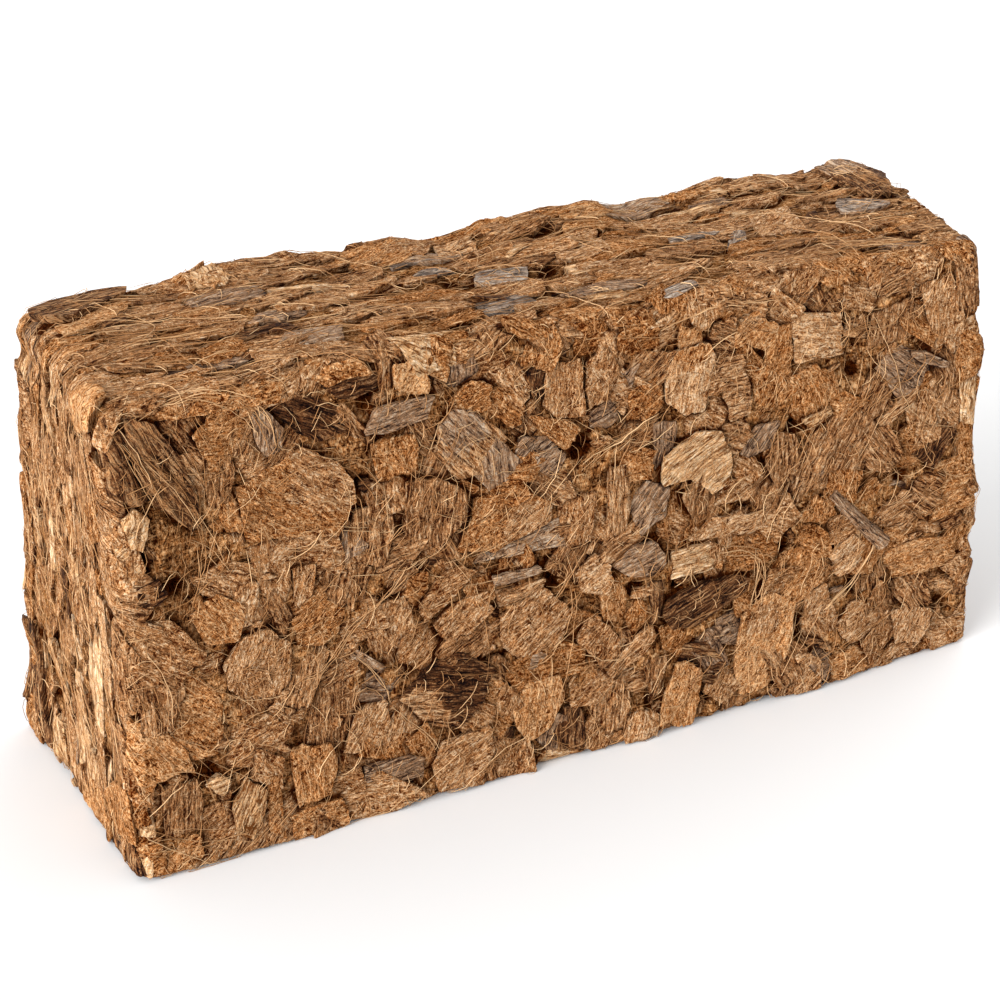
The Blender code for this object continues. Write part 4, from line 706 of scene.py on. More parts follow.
# Fibres on a chip: how many, the least of them, their points, their length as a share of the chip's,
# how far along and across it they start, and how they turn and waver. Brown husk has more of them
CHIP_FIBRES_PER_MM2 = 0.02
FEWEST_CHIP_FIBRES = 3
BROWN_FIBRE_FACTOR = 1.6
CHIP_FIBRE_POINTS = 4
CHIP_FIBRE_LENGTHS = (0.25, 0.75)
CHIP_FIBRE_REACH = (0.52, 0.48)
CHIP_FIBRE_TURN = 0.07
CHIP_FIBRE_WAVER = 0.06

# The mean and the spread of the rise of strands and of fibres on chips, and of the shade of fibres
STRAND_RISE = (0.12, 0.1)
CHIP_FIBRE_RISE = (0.02, 0.05)
LOOSE_SHADES = (0.1, 0.5)
STRAND_SHADES = (0.3, 0.45)
CHIP_FIBRE_SHADES = (0.1, 0.4)
SHADE_OF_CHIP = 0.3

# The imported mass: its mesh step, how far it lies below the press plane, its unevenness with the share
# of each layer and how often it comes per millimetre, and the strength and rate of its shades
MASS_STEP = 1.0
MASS_SINK = 0.5
MASS_LUMPS = 0.5
MASS_LAYERS = ((1.0, 0.25), (0.6, 0.6))
MASS_SHADE = 0.3
MASS_SHADES_PER_MM = 0.1
MASS_GRAIN = (1, 1, 0.8)

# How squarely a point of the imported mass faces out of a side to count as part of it, and the least
# height of any point over the floor
SIDE_SHARE = 0.6
FLOOR_CLEARANCE = 0.04

# Edges of a mesh that are sharper than this are not shaded smooth
SHARP_ANGLE = math.radians(52)

# Colours of each tone as sRGB: dark, middle and light
RAMPS = {
    "packed_husk": ((46, 18, 5), (146, 99, 60), (214, 168, 122)),
    "tan_pith": ((70, 32, 10), (164, 116, 76), (230, 192, 153)),
    "orange_pith": ((66, 28, 8), (164, 109, 65), (230, 182, 135)),
    "brown_husk": ((50, 22, 7), (145, 101, 66), (214, 174, 134)),
    "grey_bark": ((44, 24, 12), (139, 106, 80), (202, 176, 150)),
    "silver_bark": ((40, 24, 14), (134, 112, 95), (206, 190, 174)),
    "dark_bark": ((22, 8, 3), (86, 54, 33), (168, 126, 88)),
    "pale_straw": ((100, 60, 30), (194, 153, 112), (244, 214, 180)),
    "loose_fibre": ((70, 36, 14), (154, 110, 70), (224, 186, 140)),
}
SRGB_POWER = 2.2

# Strength of a material's streaks along the grain, how short they are, the strength of its cracks
# along the grain, its felt of short fibre ends, its blotches, its roughness, and its sheen
Finish = namedtuple("Finish", "streaks shortness cracks felt blotches roughness sheen")
FINISHES = {
    "packed_husk": Finish(1.0, 1.0, 0.6, 1.3, 0.6, 0.95, 0.0),
    "tan_pith": Finish(1.0, 0.7, 0.6, 1.3, 0.6, 0.9, 0.02),
    "orange_pith": Finish(0.8, 1.0, 0.5, 1.5, 0.7, 0.92, 0.0),
    "brown_husk": Finish(1.1, 0.6, 1.0, 1.0, 0.5, 0.88, 0.03),
    "grey_bark": Finish(1.0, 0.55, 1.0, 0.7, 0.6, 0.8, 0.12),
    "silver_bark": Finish(1.2, 0.5, 1.2, 0.6, 0.6, 0.7, 0.15),
    "dark_bark": Finish(1.25, 0.45, 1.0, 0.8, 0.8, 0.75, 0.05),
    "pale_straw": Finish(1.2, 0.5, 0.8, 0.8, 0.5, 0.88, 0.04),
}
WARM_TINT = (1.08, 0.965, 0.81)
COOL_TINT = (0.95, 1.02, 1.08)
# The tint of the painted shade in the depths and the cracks
DEEP_SHADE_TINT = (0.12, 0.055, 0.022)

# Noises over the grain's coordinates: how often each comes per millimetre along and across the
# grain, its detail, its offset and its curl
Pattern = namedtuple("Pattern", "along across detail offset curl", defaults=[(0, 0, 0), 0.0])
PATTERNS = {
    "streaks": Pattern(0.2, 1.3, 2),
    "hairs": Pattern(0.7, 2.4, 2, (7, 3, 0), 0.6),
    "felt": Pattern(1.5, 2.1, 3, (1, 9, 0), 1.6),
    "strands": Pattern(0.45, 2.9, 1, curl=0.8),
    "blotches": Pattern(0.13, 0.2, 2, (5, 5, 0)),
    "veins": Pattern(0.09, 0.8, 1, (2, 6, 0)),
    "fissures": Pattern(0.3, 0.5, 2, (6, 2, 0), 1.2),
    "breaks": Pattern(0.25, 0.3, 1, (8, 1, 0)),
    "hue": Pattern(0.5, 0.9, 2, (3, 8, 0)),
    "fine_hue": Pattern(1.9, 2.7, 1, (9, 4, 0)),
    "fibre_mottle": Pattern(0.5, 1, 1),
}
NOISE_GAIN = 3.2
NOISE_ROUGHNESS = 0.6

# The strands of the felt run at these angles to the grain, with this offset. Their least height and
# their mean
STRAND_TURNS = (0.3, -0.5, 1.35)
STRANDS_OFFSET = 4
STRANDS_LEAST = -0.6
STRANDS_MEAN = 0.3

# How sharply the cracks and the fissures are drawn, and how much of the fissures the breaks leave
CRACK_SHARPNESS = 7.0
FISSURE_SHARPNESS = 9.0
BREAK_GAIN = 2.0

# How much each pattern lightens the colour and raises the surface
COLOUR_WEIGHTS = {
    "streaks": 0.17, "hairs": 0.48, "felt": 0.49, "strands": 0.38, "blotches": 0.1,
    "cracks": -0.34, "fissures": -0.65, "shade": 0.28,
}
HEIGHT_WEIGHTS = {
    "streaks": 0.08, "hairs": 0.14, "felt": 0.16, "strands": 0.12, "cracks": -0.18, "fissures": -0.2,
}

# The depths between which the colour goes from its own to the deep tint of painted shade
DEPTHS = (0.2, 1.8)

# The weights of a loose fibre's shade and mottle, its roughness and its sheen
FIBRE_SHADE_WEIGHT = 0.38
FIBRE_MOTTLE_WEIGHT = 0.1
FIBRE_ROUGHNESS = 0.6
FIBRE_SHEEN = 0.1

# The camera, fitted to the brick's corners in the photo
CAMERA_PLACE = (-244.71, -454.68, 323.74)
CAMERA_AZIMUTH = -27.905
CAMERA_ELEVATION = 28.187
CAMERA_ROLL = 1.031
CAMERA_LENS = 97.2
CAMERA_SENSOR = 36.0
CAMERA_NEAR = 0.01


def swell(first, second):
    return SWELL * np.sin(first / SWELL_LONG + second / SWELL_SHORT)


def bulge_at(profile, places):
    """The bulge of an edge at places along it."""
    return np.interp(places, *np.array(profile).T)


def squared(points):
    """Points over the round edges, moved out as far as each edge is square."""
    spans = np.array([ALONG, ACROSS, UP])
    nearest = np.clip(points, spans[:, 0] + EDGE_RADIUS, spans[:, 1] - EDGE_RADIUS)
    out = points - nearest
    reach = np.linalg.norm(out, axis=-1, keepdims=True)
    way = out / np.maximum(reach, TINY)
    left, front, high = [np.maximum(part, 0) for part in (-way[..., 0], -way[..., 1], way[..., 2])]
    worn = np.minimum(2 * (front * high + left * front + left * high), 1)[..., None]
    power = CRISP_POWER + (WORN_POWER - CRISP_POWER) * worn
    total = (np.abs(way) ** power).sum(-1, keepdims=True)
    return nearest + out / np.maximum(total, TINY) ** (1 / power)


def settled(points):
    """Points of the round-edged brick, moved to where the press left them. The base stays flat."""
    points = squared(points)
    x, y, z = points[..., 0], points[..., 1], points[..., 2]
    right, back, high = x / LENGTH + 0.5, y / DEPTH + 0.5, z / HEIGHT
    moved = points.copy()
    for (side, depth, level), push in CORNER_PUSH.items():
        share = right if side == "right" else 1 - right
        share = share * (back if depth == "back" else 1 - back)
        share = share * (high if level == "high" else 1 - high)
        moved += share[..., None] * np.array(push)
    moved[..., 0] += swell(z, y)
    moved[..., 1] += swell(x, z)
    moved[..., 2] += swell(x, y) * high
    right, back, high = [np.clip(share, 0, 1) for share in (right, back, high)]
    moved[..., 2] += bulge_at(REAR_EDGE, x) * (back * high) ** 2
    moved[..., 1] -= bulge_at(FRONT_FOOT, x) * ((1 - back) * (1 - high)) ** 2
    moved[..., 0] += bulge_at(RIGHT_EDGE, z) * (right * (1 - back)) ** 2
    moved[..., 0] -= bulge_at(LEFT_EDGE, z) * ((1 - right) * back) ** 2
    return moved


def on_face(face, u, v, lift):
    """Points over (u, v) of a face. Past the flat part they follow the rounded edge, and then run on."""
    u, v, lift = np.broadcast_arrays(np.asarray(u, float), v, lift)
    flat_u = np.clip(u, face.u_span[0] + EDGE_RADIUS, face.u_span[1] - EDGE_RADIUS)
    flat_v = np.clip(v, face.v_span[0] + EDGE_RADIUS, face.v_span[1] - EDGE_RADIUS)
    past = np.hypot(u - flat_u, v - flat_v)
    turn = np.minimum(past / EDGE_RADIUS, math.pi / 2)
    run_on = np.maximum(past - EDGE_RADIUS * math.pi / 2, 0)
    outward = (EDGE_RADIUS + lift) * np.cos(turn) - EDGE_RADIUS - run_on
    sideways = (EDGE_RADIUS + lift) * np.sin(turn) / np.maximum(past, TINY)
    point = (face.origin
             + (flat_u + (u - flat_u) * sideways)[..., None] * face.u_axis
             + (flat_v + (v - flat_v) * sideways)[..., None] * face.v_axis
             + outward[..., None] * face.normal)
    return settled(point)


def level_with(face, centre):
    """A function like on_face, but in the flat plane that touches the face at the centre."""
    origin = on_face(face, *centre, 0)
    u_step = on_face(face, centre[0] + 1, centre[1], 0) - origin
    v_step = on_face(face, centre[0], centre[1] + 1, 0) - origin
    outward = np.cross(u_step, v_step)
    outward *= math.copysign(1, outward @ face.normal) / np.linalg.norm(outward)

    def place(face, u, v, lift):
        return (origin + (u - centre[0])[..., None] * u_step + (v - centre[1])[..., None] * v_step
                + np.asarray(lift)[..., None] * outward)

    return place


HASH_PRIMES = (374761393, 668265263, 2147483647, 1274126177)
LOW_BITS = np.uint64(0xFFFFFFFF)


def hashed(*cells):
    """A value from -1 to 1 for each whole-numbered cell."""
    value = np.zeros(np.broadcast(*cells).shape, np.uint64)
    for cell, prime in zip(cells, HASH_PRIMES):
        whole = cell.astype(np.int64).astype(np.uint64)
        value = (value + whole * np.uint64(prime)) & LOW_BITS
        value = ((value ^ (value >> np.uint64(13))) * np.uint64(HASH_PRIMES[-1])) & LOW_BITS
    value ^= value >> np.uint64(16)
    return value / 2**31 - 1


def noise(x, y, z=0.0):
    """Smooth noise from -1 to 1 that comes and goes over a length of about 1."""
    x, y, z = np.broadcast_arrays(np.asarray(x, float), y, z)
    cells = [np.floor(value) for value in (x, y, z)]
    shares = [value - cell for value, cell in zip((x, y, z), cells)]
    shares = [share * share * (3 - 2 * share) for share in shares]
    total = np.zeros(x.shape)
    for i in (0, 1):
        for j in (0, 1):
            for k in (0, 1):
                weight = (shares[0] if i else 1 - shares[0]) * (shares[1] if j else 1 - shares[1])
                weight = weight * (shares[2] if k else 1 - shares[2])
                total += weight * hashed(cells[0] + i, cells[1] + j, cells[2] + k)
    return total


def layered(layers, x, y, seed):
    """Noise in layers. Each has its share, and how often it comes along x and along y."""
    return sum(share * noise(x * x_rate, y * y_rate, seed + 0.5 * order)
               for order, (share, x_rate, y_rate) in enumerate(layers))


def wavering(u, v, seed):
    """Noise with a finer noise on it."""
    return noise(u, v, seed) + FINE_SHARE * noise(u * FINE_RATE, v * FINE_RATE, seed + 2)


class Skin:
    """Vertices and faces that gather into one piece, with what the materials read from them."""

    def __init__(self):
        self.points = []
        self.grain = []
        self.shade = []
        self.sunk = []
        self.faces = []
        self.tones = []
        self.places = []
        self.count = 0

    def add(self, points, grain, shade, sunk, faces, place=None):
        """Adds vertices, and face arrays as (vertex indices, tone or tones). The place is the side with
        u, v and the lift of the first vertices, which get painted shade beside higher chips."""
        total = len(points)
        if place:
            self.places.append((self.count, *place))
        self.points.append(points)
        self.grain.append(grain)
        self.shade.append(np.broadcast_to(shade, total))
        self.sunk.append(np.broadcast_to(sunk, total))
        for corners, tone in faces:
            self.faces.append(corners + self.count)
            self.tones.append(np.broadcast_to(tone, len(corners)))
        self.count += total

    def piece(self, name):
        """The gathered mesh as an object that rides on the brick."""
        points = np.concatenate(self.points)
        points[:, 2] = np.maximum(points[:, 2], FLOOR_CLEARANCE)
        tones = np.concatenate(self.tones)
        sunk = np.concatenate(self.sunk)
        # Painted shade in the cracks beside higher chips, added to the depth
        for start, side, u, v, lift in self.places:
            sunk[start:start + len(u)] += CRACK_PAINTED_SHADE * GROUNDS[side].overlooked(u, v, lift)
        used = sorted(set(tones))
        mesh = bpy.data.meshes.new(name)
        mesh.vertices.add(len(points))
        mesh.vertices.foreach_set("co", (points * MM).astype(np.float32).ravel())
        loops = np.concatenate([corners.ravel() for corners in self.faces]).astype(np.int32)
        sizes = np.concatenate([np.full(len(corners), corners.shape[1]) for corners in self.faces])
        mesh.loops.add(len(loops))
        mesh.loops.foreach_set("vertex_index", loops)
        mesh.polygons.add(len(sizes))
        mesh.polygons.foreach_set("loop_start", (np.cumsum(sizes) - sizes).astype(np.int32))
        slots = np.zeros(len(tones), np.int32)
        for index, tone in enumerate(used):
            mesh.materials.append(MATERIALS[tone])
            slots[tones == tone] = index
        mesh.polygons.foreach_set("material_index", slots)
        mesh.update(calc_edges=True)
        mesh.validate()
        mesh.shade_smooth()
        mesh.set_sharp_from_angle(angle=SHARP_ANGLE)
        for title, kind, values in (
                ("grain", "FLOAT_VECTOR", np.concatenate(self.grain)),
                ("shade", "FLOAT", np.concatenate(self.shade)), ("sunk", "FLOAT", sunk)):
            attribute = mesh.attributes.new(title, kind, "POINT")
            field = "vector" if kind == "FLOAT_VECTOR" else "value"
            attribute.data.foreach_set(field, values.astype(np.float32).ravel())
        piece = bpy.data.objects.new(name, mesh)
        bpy.context.scene.collection.objects.link(piece)
        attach(piece, "root")
        return piece


class Ground:
    """The height of the chips over each face. The fibres lie on it, and the cracks below it get painted
    shade.
    """

    CELL = 0.5
    MARGIN = 12.0
    WAYS = 8

    def __init__(self, face):
        self.low = np.array([face.u_span[0], face.v_span[0]]) - self.MARGIN
        high = np.array([face.u_span[1], face.v_span[1]]) + self.MARGIN
        self.shape = tuple(((high - self.low) / self.CELL).astype(int) + 2)
        self.heights = np.full(self.shape, -MASS_SINK)

    def raise_to(self, u, v, lift):
        """Raises the ground to a grid of points, and half-way between them along the second axis."""
        for grids in ((u, v, lift), [(grid[:, 1:] + grid[:, :-1]) / 2 for grid in (u, v, lift)]):
            x = (grids[0] - self.low[0]) / self.CELL
            y = (grids[1] - self.low[1]) / self.CELL
            for across in (0, 1):
                for along in (0, 1):
                    i = np.clip(x.astype(int) + across, 0, self.shape[0] - 1)
                    j = np.clip(y.astype(int) + along, 0, self.shape[1] - 1)
                    np.maximum.at(self.heights, (i.ravel(), j.ravel()), grids[2].ravel())

    def overlooked(self, u, v, lift):
        """How much higher than the points the ground stands round them, on average."""
        higher = np.zeros(len(u))
        for turn in np.linspace(0, 2 * math.pi, self.WAYS, endpoint=False):
            around = self.at(u + CRACK_REACH * math.cos(turn), v + CRACK_REACH * math.sin(turn))
            higher += np.maximum(around - lift, 0) / self.WAYS
        return higher

    def at(self, u, v):
        x = np.clip((u - self.low[0]) / self.CELL, 0, self.shape[0] - 1.001)
        y = np.clip((v - self.low[1]) / self.CELL, 0, self.shape[1] - 1.001)
        i, j = x.astype(int), y.astype(int)
        x, y = x - i, y - j
        row = self.heights[i, j] * (1 - y) + self.heights[i, j + 1] * y
        next_row = self.heights[i + 1, j] * (1 - y) + self.heights[i + 1, j + 1] * y
        return row * (1 - x) + next_row * x


GROUNDS = {side: Ground(face) for side, face in FACES.items()}


def middle(outline):
    count = len(outline)
    return sum(u for u, v in outline) / count, sum(v for u, v in outline) / count


def rows_of(outline, grain, steps, fray, seed):
    """The chip's points in rows that run along the grain: u, v, a along it, b across it, and the
    distance to the rim."""
    centre = np.array(middle(outline))
    along = np.array([math.cos(grain), math.sin(grain)])
    across = np.array([-along[1], along[0]])
    corners = np.array(outline, float) - centre
    a_corners, b_corners = corners @ along, corners @ across
    low, high = b_corners.min(), b_corners.max()
    inset = (high - low) * ROW_INSET
    b = np.linspace(low + inset, high - inset, max(round((high - low) / steps[0]), 3) + 1)
    starts = np.full(len(b), np.inf)
    ends = np.full(len(b), -np.inf)
    for index in range(len(outline)):
        a_1, b_1 = a_corners[index - 1], b_corners[index - 1]
        a_2, b_2 = a_corners[index], b_corners[index]
        if b_1 == b_2:
            continue
        crossed = (b >= min(b_1, b_2)) & (b <= max(b_1, b_2))
        a = a_1 + (b - b_1) / (b_2 - b_1) * (a_2 - a_1)
        starts = np.where(crossed, np.minimum(starts, a), starts)
        ends = np.where(crossed, np.maximum(ends, a), ends)
    ragged = [sum(share * noise(b * rate, seed, end + 7 * order)
                  for order, (share, rate) in enumerate(FRAY_LAYERS)) for end in (0, 1)]
    end_fray = fray * np.minimum(1, (ends - starts) / FRAY_LENGTH)
    starts, ends = starts + end_fray * ragged[0], ends + end_fray * ragged[1]
    columns = max(round((ends - starts).max() / steps[1]), 3) + 1
    share = np.linspace(0, 1, columns)
    a = starts[:, None] + (ends - starts)[:, None] * share
    b = np.repeat(b[:, None], columns, 1)
    rim = np.minimum(np.minimum(a - starts[:, None], ends[:, None] - a),
                     np.minimum(b - b[0, 0], b[-1, 0] - b))
    edge_rows = (np.arange(len(b)) == 0) | (np.arange(len(b)) == len(b) - 1)
    side_fray = np.where(edge_rows, SIDE_FRAY * fray, 0)[:, None]
    b = b + side_fray * noise(a * SIDE_FRAYS_PER_MM, seed, 3)
    u = centre[0] + a * along[0] + b * across[0]
    v = centre[1] + a * along[1] + b * across[1]
    return u, v, a, b, rim


def grid_quads(rows, columns):
    index = np.arange(rows * columns).reshape(rows, columns)
    return np.stack([index[:-1, :-1], index[:-1, 1:], index[1:, 1:], index[1:, :-1]], -1).reshape(-1, 4)


def rim_loop(rows, columns):
    index = np.arange(rows * columns).reshape(rows, columns)
    return np.concatenate([index[0], index[1:, -1], index[-1, -2::-1], index[-2:0:-1, 0]])


def add_chip(skin, side, chip, seed, steps=None, warp=WARP):
    """A rough plate on a face: a ribbed outer side with a rolled rim, its walls and its back."""
    face = FACES[side]
    relief = RELIEFS[chip.tone]
    centre = middle(chip.outline)
    u, v, a, b, rim = rows_of(
        chip.outline, math.radians(chip.grain), steps or MESH_STEPS[side], relief.fray, seed)
    waver = TRACED_WAVER if chip in STANDOUT_CHIPS.get(side, []) else WAVER
    at_u, at_v = u * WAVERS_PER_MM, v * WAVERS_PER_MM
    u = u + waver * wavering(at_u, at_v, 3)
    v = v + waver * wavering(at_u, at_v, 7)
    if side not in ("top", "base"):
        v = np.maximum(v, BASE_CLEARANCE)
    half_a = max(np.abs(a).max(), 1)
    half_b = max(np.abs(b).max(), 1)
    lift = chip.lift + chip.slope[0] * (u - centre[0]) + chip.slope[1] * (v - centre[1])
    lift += warp * hashed(np.array(seed), np.array(1)) * (a / half_a) ** 2
    lift += warp * hashed(np.array(seed), np.array(2)) * (b / half_b) ** 2
    ribs = layered(RIB_LAYERS, b, a, seed) * (relief.ribs * RIDGED.get(chip.name, 1.0))
    lift += ribs
    lift += relief.lumps * layered(LUMP_LAYERS, a, b, seed)
    lift -= RIM_ROLL * (1 - np.clip(rim / RIM_WIDTH, 0, 1)) ** 2
    lift = np.maximum(lift, LOWEST_RIM)
    if side == "base":
        lift = np.minimum(lift, 0)
    GROUNDS[side].raise_to(u, v, lift)
    rows, columns = u.shape
    ring = rim_loop(rows, columns)
    inner_u = centre[0] + (u.ravel()[ring] - centre[0]) * BACK_SHARE
    inner_v = centre[1] + (v.ravel()[ring] - centre[1]) * BACK_SHARE
    inner_lift = lift.ravel()[ring] - relief.thickness
    place = level_with(face, centre) if chip.name in LEVEL_CHIPS else on_face
    points = np.concatenate([
        place(face, u, v, lift).reshape(-1, 3), place(face, inner_u, inner_v, inner_lift)])
    grain = np.stack([a, b, np.full(a.shape, seed * CHIP_GRAIN_STEP)], -1).reshape(-1, 3)
    wall_grain = grain[ring] + np.array([0, relief.thickness, 0])
    quads = grid_quads(rows, columns)
    total = rows * columns
    below = total + np.arange(len(ring))
    walls = np.stack([ring, below, np.roll(below, -1), np.roll(ring, -1)], -1)
    back = below[::-1][None]
    if np.dot(np.cross(face.u_axis, face.v_axis), face.normal) < 0:
        quads, walls, back = quads[:, ::-1], walls[:, ::-1], back[:, ::-1]
    tones = np.full(len(quads), chip.tone, dtype=object)
    shade = np.full(total + len(ring), float(chip.shade))
    # Painted shade in the grooves between the ribs
    shade[:total] += GROOVE_PAINTED_SHADE * ribs.ravel()
    patch = PATCHES.get(chip.name)
    if patch:
        along_rate, across_rate = PATCH_WAVERS_PER_MM
        reach = np.hypot(u - patch.centre[0], v - patch.centre[1])
        reach = reach + PATCH_WAVER * noise(a * along_rate, b * across_rate, seed)
        covered = (reach < patch.radius).ravel()
        tones[covered[quads].mean(1) > 0.5] = patch.tone
        shade[:total][covered] += patch.shade - chip.shade
    # Painted shade on parts of the rim, added to the depth
    rim_shade_spots = noise(a * RIM_SHADE_SPOTS_PER_MM, b * RIM_SHADE_SPOTS_PER_MM, seed + 0.3)
    rim_shade = RIM_PAINTED_SHADE * np.clip(rim_shade_spots + RIM_SHADE_BIAS, 0, 1)
    rim_shade *= 1 - np.clip(rim / RIM_WIDTH, 0, 1)
    sunk = np.concatenate([(rim_shade - lift).ravel(), -inner_lift])
    skin.add(points, np.concatenate([grain, wall_grain]), shade, sunk,
             [(quads, tones), (walls, chip.tone), (back, chip.tone)],
             (side, u.ravel(), v.ravel(), lift.ravel()))


def rough_outline(rng, centre, long_side, short_side, turn):
    """An uneven outline of four or five corners, as a husk chip breaks."""
    corners = rng.choice(CORNER_COUNTS)
    start = rng.uniform(0, 1)
    outline = []
    for index in range(corners):
        angle = 2 * math.pi * (index + start + rng.uniform(-UNEVEN, UNEVEN)) / corners
        reach = rng.uniform(*CORNER_REACH) / max(abs(math.cos(angle)), abs(math.sin(angle))) ** 0.5
        along = long_side / 2 * reach * math.cos(angle)
        across = short_side / 2 * reach * math.sin(angle)
        outline.append((centre[0] + along * math.cos(turn) - across * math.sin(turn),
                        centre[1] + along * math.sin(turn) + across * math.cos(turn)))
    return outline


def grown(outline, by):
    """The outline with every side moved outwards."""
    area = sum(a[0] * b[1] - b[0] * a[1] for a, b in zip(outline, outline[1:] + outline[:1]))
    out = math.copysign(by, area)
    corners = []
    for index, corner in enumerate(outline):
        corner = Vector(corner)
        before = (corner - Vector(outline[index - 1])).normalized()
        after = (Vector(outline[(index + 1) % len(outline)]) - corner).normalized()
        normal_before = Vector((before.y, -before.x))
        normal_after = Vector((after.y, -after.x))
        mitre = (normal_before + normal_after) / max(1 + normal_before.dot(normal_after), 0.5)
        corners.append(tuple(corner + mitre * out))
    return corners


def inside(point, outline):
    """True where the point lies within the outline, by counting the sides to its right."""
    u, v = point
    crossings = 0
    for (u_a, v_a), (u_b, v_b) in zip(outline, outline[1:] + outline[:1]):
        if (v_a > v) != (v_b > v) and u < u_a + (v - v_a) / (v_b - v_a) * (u_b - u_a):
            crossings += 1
    return crossings % 2 == 1


def scattered_chips(side, scatter, taken, tries, tilt=TILT):
    """Scattered chips of a face, spaced evenly and with their middles clear of the taken outlines."""
    face = FACES[side]
    rng = random.Random(scatter.seed)
    looks = random.Random(scatter.seed + LOOKS_SEED_STEP)
    centres = []
    chips = []
    for _ in range(tries):
        centre = (rng.uniform(*face.u_span), rng.uniform(*face.v_span))
        crowded = any(
            math.hypot((centre[0] - u) / scatter.spacing[0], (centre[1] - v) / scatter.spacing[1]) < 1
            for u, v in centres)
        if crowded or any(inside(centre, outline) for outline in taken):
            continue
        centres.append(centre)
        turn = rng.uniform(scatter.turn_from, scatter.turn_to)
        outline = rough_outline(
            rng, centre, rng.uniform(*scatter.long_side), rng.uniform(*scatter.short_side),
            math.radians(turn))
        if side not in ("top", "base"):
            outline = [(u, max(v, BASE_CLEARANCE)) for u, v in outline]
        lift = rng.uniform(*scatter.lifts)
        slope = (rng.uniform(-tilt, tilt), rng.uniform(-tilt, tilt))
        shares = SIDE_TONE_SHARES.get(side, TONE_SHARES)
        tone = looks.choices(list(shares), list(shares.values()))[0]
        grain = turn + looks.gauss(0, GRAIN_STRAY)
        if looks.random() < CROSS_GRAINED and side == "front":
            grain += 90
        chips.append(Chip("chip", tone, looks.uniform(-SHADES, SHADES), grain, outline, lift, slope))
    return chips


def main_outlines(side, margin):
    return [grown(chip.outline, margin) for chip in STANDOUT_CHIPS.get(side, [])]


def add_fibres(skin, side, u, v, lift, radius, shade, seed):
    """Thin three-sided tubes along rows of points on a face, tapered at both ends."""
    face = FACES[side]
    centre = on_face(face, u, v, lift)
    count, points = u.shape
    tangent = np.gradient(centre, axis=1)
    tangent /= np.maximum(np.linalg.norm(tangent, axis=-1, keepdims=True), TINY)
    across = np.cross(tangent, face.normal)
    across /= np.maximum(np.linalg.norm(across, axis=-1, keepdims=True), TINY)
    upward = np.cross(across, tangent)
    taper = np.ones(points)
    taper[[0, -1]] = FIBRE_TAPER
    width = (radius[:, None] * taper)[..., None]
    turns = [2 * math.pi * corner / 3 + math.pi / 2 for corner in range(3)]
    rings = np.stack(
        [centre + width * (math.cos(turn) * across + math.sin(turn) * upward) for turn in turns], 2)
    index = np.arange(count * points * 3).reshape(count, points, 3)
    sides = [
        np.stack([index[:, :-1, corner], index[:, :-1, (corner + 1) % 3],
                  index[:, 1:, (corner + 1) % 3], index[:, 1:, corner]], -1).reshape(-1, 4)
        for corner in range(3)]
    caps = np.concatenate([index[:, 0, ::-1], index[:, -1]])
    along = np.broadcast_to(np.linspace(0, 1, points)[None, :, None] * FIBRE_GRAIN, rings.shape[:3])
    offset = np.broadcast_to(
        (np.arange(count) * FIBRE_GRAIN_STEP + seed)[:, None, None], rings.shape[:3])
    grain = np.stack([along, np.zeros(rings.shape[:3]), offset], -1).reshape(-1, 3)
    fibre_shade = np.repeat(shade, points * 3)
    sunk = np.repeat((-lift).ravel(), 3)
    skin.add(rings.reshape(-1, 3), grain, fibre_shade, sunk,
             [(np.concatenate(sides)[:, ::-1], "loose_fibre"), (caps[:, ::-1], "loose_fibre")])


def draped(side, u, v, rise):
    """The lift of fibres that lie on the chips and bridge the gaps between them."""
    lift = GROUNDS[side].at(u, v)
    for _ in range(FIBRE_BRIDGINGS):
        bridged = (np.roll(lift, 1, 1) + np.roll(lift, -1, 1)) / 2 - FIBRE_SAG
        bridged[:, [0, -1]] = lift[:, [0, -1]]
        lift = np.maximum(lift, bridged)
    lift = lift + rise
    lift[:, [0, -1]] -= FIBRE_DIP + rise[:, [0, -1]]
    return lift


def loose_fibres(skin, side, count, kind, rng):
    """Fibres scattered over a face. Each one bends evenly and wavers a little."""
    if not count:
        return
    face, fleece = FACES[side], FLEECES[side]
    points = FIBRE_STEPS[kind] + 1
    length = rng.uniform(*FIBRE_LENGTHS[kind], count)
    turn = np.radians(rng.normal(fleece.turn, fleece.spread, count))
    bend = rng.normal(0, FIBRE_BEND[kind], count)
    step = (length / FIBRE_STEPS[kind])[:, None]
    angle = turn[:, None] + bend[:, None] * step * np.arange(points)
    angle = angle + rng.normal(0, FIBRE_WAVER, (count, points))
    u = rng.uniform(face.u_span[0] + 1, face.u_span[1] - 1, count)[:, None]
    v = rng.uniform(face.v_span[0] + 1, face.v_span[1] - 1, count)[:, None]
    u = u + np.cumsum(step * np.cos(angle), 1) - length[:, None] / 2 * np.cos(turn)[:, None]
    v = v + np.cumsum(step * np.sin(angle), 1) - length[:, None] / 2 * np.sin(turn)[:, None]
    if side not in ("top", "base"):
        v = np.maximum(v, BASE_CLEARANCE)
    rise = np.abs(rng.normal(0, FIBRE_RISE, (count, 1)))
    rise = rise + np.abs(rng.normal(0, FIBRE_FLUTTER, (count, points)))
    lift = draped(side, u, v, rise)
    if side == "base":
        lift = np.minimum(lift, 0)
    shade = np.clip(rng.normal(*LOOSE_SHADES, count), -1, 1)
    add_fibres(skin, side, u, v, lift, rng.uniform(*FIBRE_RADII, count), shade, rng.uniform(0, 50))


